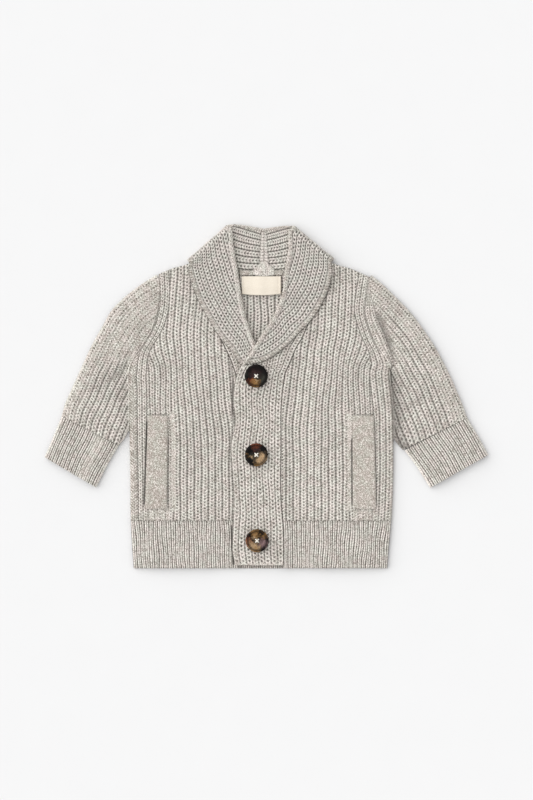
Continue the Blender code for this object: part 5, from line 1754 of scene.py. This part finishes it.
def noise(tree, place, scale, detail=2.0, roughness=0.5):
    inputs = {"Vector": place, "Scale": scale, "Detail": detail, "Roughness": roughness}
    return node(tree, "ShaderNodeTexNoise", inputs).outputs["Fac"]


def attribute(tree, name):
    return node(tree, "ShaderNodeAttribute", attribute_name=name).outputs["Fac"]


def spread(tree, value, low, high, to_low=0.0, to_high=1.0):
    """A value's range from low to high, spread over another."""
    inputs = {"Value": value, "From Min": low, "From Max": high, "To Min": to_low, "To Max": to_high}
    return node(tree, "ShaderNodeMapRange", inputs).outputs[0]


def shader(name, **settings):
    """A new material, its tree, the colour it takes, and the place on the object."""
    material = bpy.data.materials.new(name)
    material.use_nodes = True
    tree = material.node_tree
    inputs = tree.nodes["Principled BSDF"].inputs
    for setting, value in settings.items():
        inputs[setting.replace("_", " ")].default_value = value
    place = node(tree, "ShaderNodeTexCoord").outputs["Object"]
    return material, tree, inputs["Base Color"], place


def knit_material(name, light, dark, fleck, deep):
    """Heathered wool: light and dark fibres spun together, with painted shade where the yarn dips."""
    material, tree, base, place = shader(
        name, Roughness=0.9, Specular_IOR_Level=0.15, Sheen_Weight=0.08, Sheen_Roughness=0.6
    )
    fibres = noise(tree, place, 2900.0, 2.0, 0.6)
    heather = noise(tree, place, 1020.0, 1.0)
    drifts = noise(tree, place, 60.0, 1.0)
    value = sum_of(tree, (fibres, 1.0), (heather, 2.3), (attribute(tree, "tone"), 0.16), (drifts, 0.25))
    yarn = mixed(tree, spread(tree, value, 1.46, 2.00), dark, light)
    flecks = spread(tree, noise(tree, place, 1150.0, 1.0), 0.58, 0.67, 0.0, 0.9)
    yarn = mixed(tree, flecks, yarn, fleck)
    warmth = spread(tree, noise(tree, place, 130.0, 1.0), 0.38, 0.62)
    tint = mixed(tree, warmth, (0.970, 0.975, 0.950, 1), (1.0, 0.950, 0.945, 1))
    yarn = mixed(tree, 1.0, yarn, tint, blend_type="MULTIPLY")
    # Painted shade: the yarn turns towards the deep colour as far as the shade attribute says.
    tree.links.new(mixed(tree, attribute(tree, "shade"), yarn, deep), base)

    share = maths(tree, "FRACT", attribute(tree, "rib"))
    side = maths(tree, "ABSOLUTE", maths(tree, "SUBTRACT", share, 0.5))
    ply = maths(tree, "SINE", sum_of(tree, (attribute(tree, "row"), 4.4), (side, 26.0)))
    height = maths(tree, "MULTIPLY_ADD", ply, 0.25, noise(tree, place, 2600.0, 2.0))
    bump(tree, height, 0.5, 0.0004)
    return material


def woven_material():
    """Cream satin ribbon: fine warp and weft, a little worn."""
    material, tree, base, place = shader("woven_cream", Roughness=0.6, Specular_IOR_Level=0.35)
    warp, weft = waves(tree, place, 700.0, "X"), waves(tree, place, 500.0, "Y")
    bump(tree, maths(tree, "MULTIPLY_ADD", warp, 0.5, weft), 0.3, 0.0001)
    wear = spread(tree, noise(tree, place, 900.0, 3.0), 0.2, 0.8)
    tree.links.new(mixed(tree, wear, (0.77, 0.69, 0.575, 1), (0.85, 0.775, 0.665, 1)), base)
    return material


def tortoiseshell(name, patches):
    """Dark horn-like plastic with clouded patches of colour, polished."""
    material, tree, base, place = shader(
        f"tortoiseshell_{name}",
        Roughness=0.45,
        Specular_IOR_Level=0.03,
        Coat_Weight=0.03,
        Coat_Roughness=0.25,
    )
    button = bpy.data.objects[f"button_{name}"]
    low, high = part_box(f"button_{name}")
    middle = (low + high) / 2
    inputs = {"Vector": place, "Scale": 300.0, "Detail": 4.0}
    warp = node(tree, "ShaderNodeTexNoise", inputs).outputs["Color"]
    warp = maths(tree, "SUBTRACT", warp, (0.5,) * 3, kind="VectorMath")
    warp = maths(tree, "MULTIPLY", warp, (0.011,) * 3, kind="VectorMath")
    bent = maths(tree, "ADD", place, warp, kind="VectorMath")

    def distance(vector, x, y):
        """How far a place is from one on the button's face, given in millimetres."""
        spot = button.matrix_world.inverted() @ (middle + Vector((x, y, BUTTON_FACE)) * MM)
        inputs = {0: vector, 1: tuple(spot)}
        return node(tree, "ShaderNodeVectorMath", inputs, operation="DISTANCE").outputs["Value"]

    colour = HORN["black"]
    for tint, x, y, radius in patches:
        near = spread(tree, distance(bent, x, y), *(share * radius * MM for share in PATCH_FADES))
        colour = mixed(tree, near, colour, HORN[tint])
    # A ring of painted shade on the slope between the rim and the dish.
    from_middle = distance(place, 0.0, 0.0)
    ring = (spread(tree, from_middle, none * MM, full * MM) for none, full in HORN_SHADE_RING)
    ring = maths(tree, "MULTIPLY", *ring)
    colour = mixed(tree, sum_of(tree, (ring, HORN_SHADE_RING_DARK)), colour, HORN["black"])
    streaks = spread(tree, noise(tree, bent, 1100.0, 3.0, 0.7), 0.38, 0.66, 0.0, 0.85)
    tree.links.new(mixed(tree, streaks, colour, HORN["black"]), base)
    return material


def thread_material():
    """Matt cream cotton, two plies twisted."""
    material, tree, base, place = shader("cotton_thread", Roughness=0.8, Specular_IOR_Level=0.2)
    twist = waves(tree, place, 500.0, "DIAGONAL")
    tree.links.new(mixed(tree, twist, (0.76, 0.71, 0.62, 1), (0.94, 0.91, 0.84, 1)), base)
    return material


def paper_material():
    """Pale matt paper with a faint grain."""
    material, tree, base, place = shader("paper", Roughness=0.95, Specular_IOR_Level=0.1)
    grain = spread(tree, noise(tree, place, 30.0, 2.0), 0.3, 0.7)
    tree.links.new(mixed(tree, grain, (0.800, 0.800, 0.802, 1), (0.805, 0.805, 0.807, 1)), base)
    return material


# ---------------------------------------------------------------- sheets
# What each piece is cut from: its greatest width and length in millimetres, its flat area in square
# millimetres, how it is held and what it lies on. The tape's shown strip is 4.8 long, and 10 is the
# least that may be given.
SHEETS = {
    "back": (250.0, 253.0, 56300, "laid"),
    "hem_back": (247.0, 45.3, 11000, "laid"),
    "front_left": (106.1, 252.6, 21000, "laid", "back_cloth"),
    "front_right": (103.3, 252.6, 20600, "laid", "back_cloth"),
    "hem_left": (102.3, 44.9, 4490, "laid", "hem_back_cloth"),
    "hem_right": (101.5, 44.9, 4500, "laid", "hem_back_cloth"),
    "sleeve_left": (144.2, 172.5, 15100, "laid"),
    "sleeve_right": (131.6, 169.2, 13600, "laid"),
    "cuff_left": (134.0, 43.0, 5290, "laid"),
    "cuff_right": (121.0, 44.8, 4910, "laid"),
    "band_left": (48.8, 192.4, 8670, "laid", "band_right_cloth", "front_right_cloth"),
    "band_right": (40.9, 185.4, 7230, "laid", "back_cloth"),
    "collar_left": (93.4, 218.5, 13700, "folded", "front_left_cloth", "band_left_cloth"),
    "collar_right": (97.2, 217.2, 14100, "folded", "front_right_cloth", "back_cloth"),
    "welt_left": (22.4, 89.0, 1910, "laid", "front_left_cloth"),
    "welt_right": (21.1, 89.0, 1790, "laid", "front_right_cloth"),
    "neck_tape": (40.8, 10.0, 196, "laid", "back_cloth"),
    "label": (37.1, 16.5, 610, "laid", "back_cloth"),
    "seam_end": (20.0, 12.2, 200, "gathered", "neck_tape_cloth"),
}
SEWN_ON = {"label": ["label_stitches"]}


def declare_sheets():
    for name, (width, length, area, held, *below) in SHEETS.items():
        sewn_on = [bpy.data.objects[other] for other in SEWN_ON.get(name, ())]
        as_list(below)


# ---------------------------------------------------------------- studio
def studio():
    """A camera straight above, one broad soft light from the upper left, and a pale floor."""
    scene = bpy.context.scene
    scene.view_settings.view_transform = "Standard"
    camera = added("camera", bpy.data.cameras.new("camera"))
    camera.data.lens = LENS
    camera.data.sensor_width = SENSOR
    camera.data.clip_end = SEES_TO
    camera.location = CAMERA_AT
    scene.camera = camera

    data = bpy.data.meshes.new("floor")
    half = FLOOR_WIDTH / 2
    corners = [(-half, -half, 0), (half, -half, 0), (half, half, 0), (-half, half, 0)]
    data.from_pydata(corners, [], [(0, 1, 2, 3)])
    data.materials.append(paper_material())
    floor = added("floor", data)
    floor.location.z = -FLOOR_BELOW
    floor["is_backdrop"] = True

    scene.world = bpy.data.worlds.new("studio")
    scene.world.use_nodes = True
    background = scene.world.node_tree.nodes["Background"]
    background.inputs["Color"].default_value = (1, 1, 1, 1)
    background.inputs["Strength"].default_value = AMBIENT

    key = added("key", bpy.data.lights.new("key", "SUN"))
    key.data.energy = KEY_STRENGTH
    key.data.angle = math.radians(KEY_SPREAD)
    key.rotation_euler = (math.radians(KEY_TILT[1]), math.radians(KEY_TILT[0]), 0)


def main():
    studio()
    wool = knit_material(
        "heather_knit",
        light=(0.98, 0.95, 0.89, 1),
        dark=(0.44, 0.405, 0.357, 1),
        fleck=(0.24, 0.205, 0.17, 1),
        # deep: the colour of the painted shade in the knit's hollows
        deep=(0.030, 0.024, 0.020, 1),
    )
    cotton = thread_material()
    for side in SIDES:
        front(side, wool)
        front_hem(side, wool)
        sleeve(side, wool)
        cuff(side, wool)
        collar(side, wool)
        welt(side, wool)
    back(wool)
    back_hem(wool)
    bands(wool)
    neck_tape(wool)
    seam_end(wool)
    label(woven_material())
    label_stitches(cotton)
    for name in BUTTONS:
        horn = tortoiseshell(name, HORN_PATCHES[name])
        bpy.data.objects[f"button_{name}"].material_slots[0].material = horn
        button_thread(name, cotton)
    declare_sheets()


main()
boxes = {"cad": cad_box, "visual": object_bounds()}
{name: [list(corner) for corner in box] for name, box in boxes.items()}
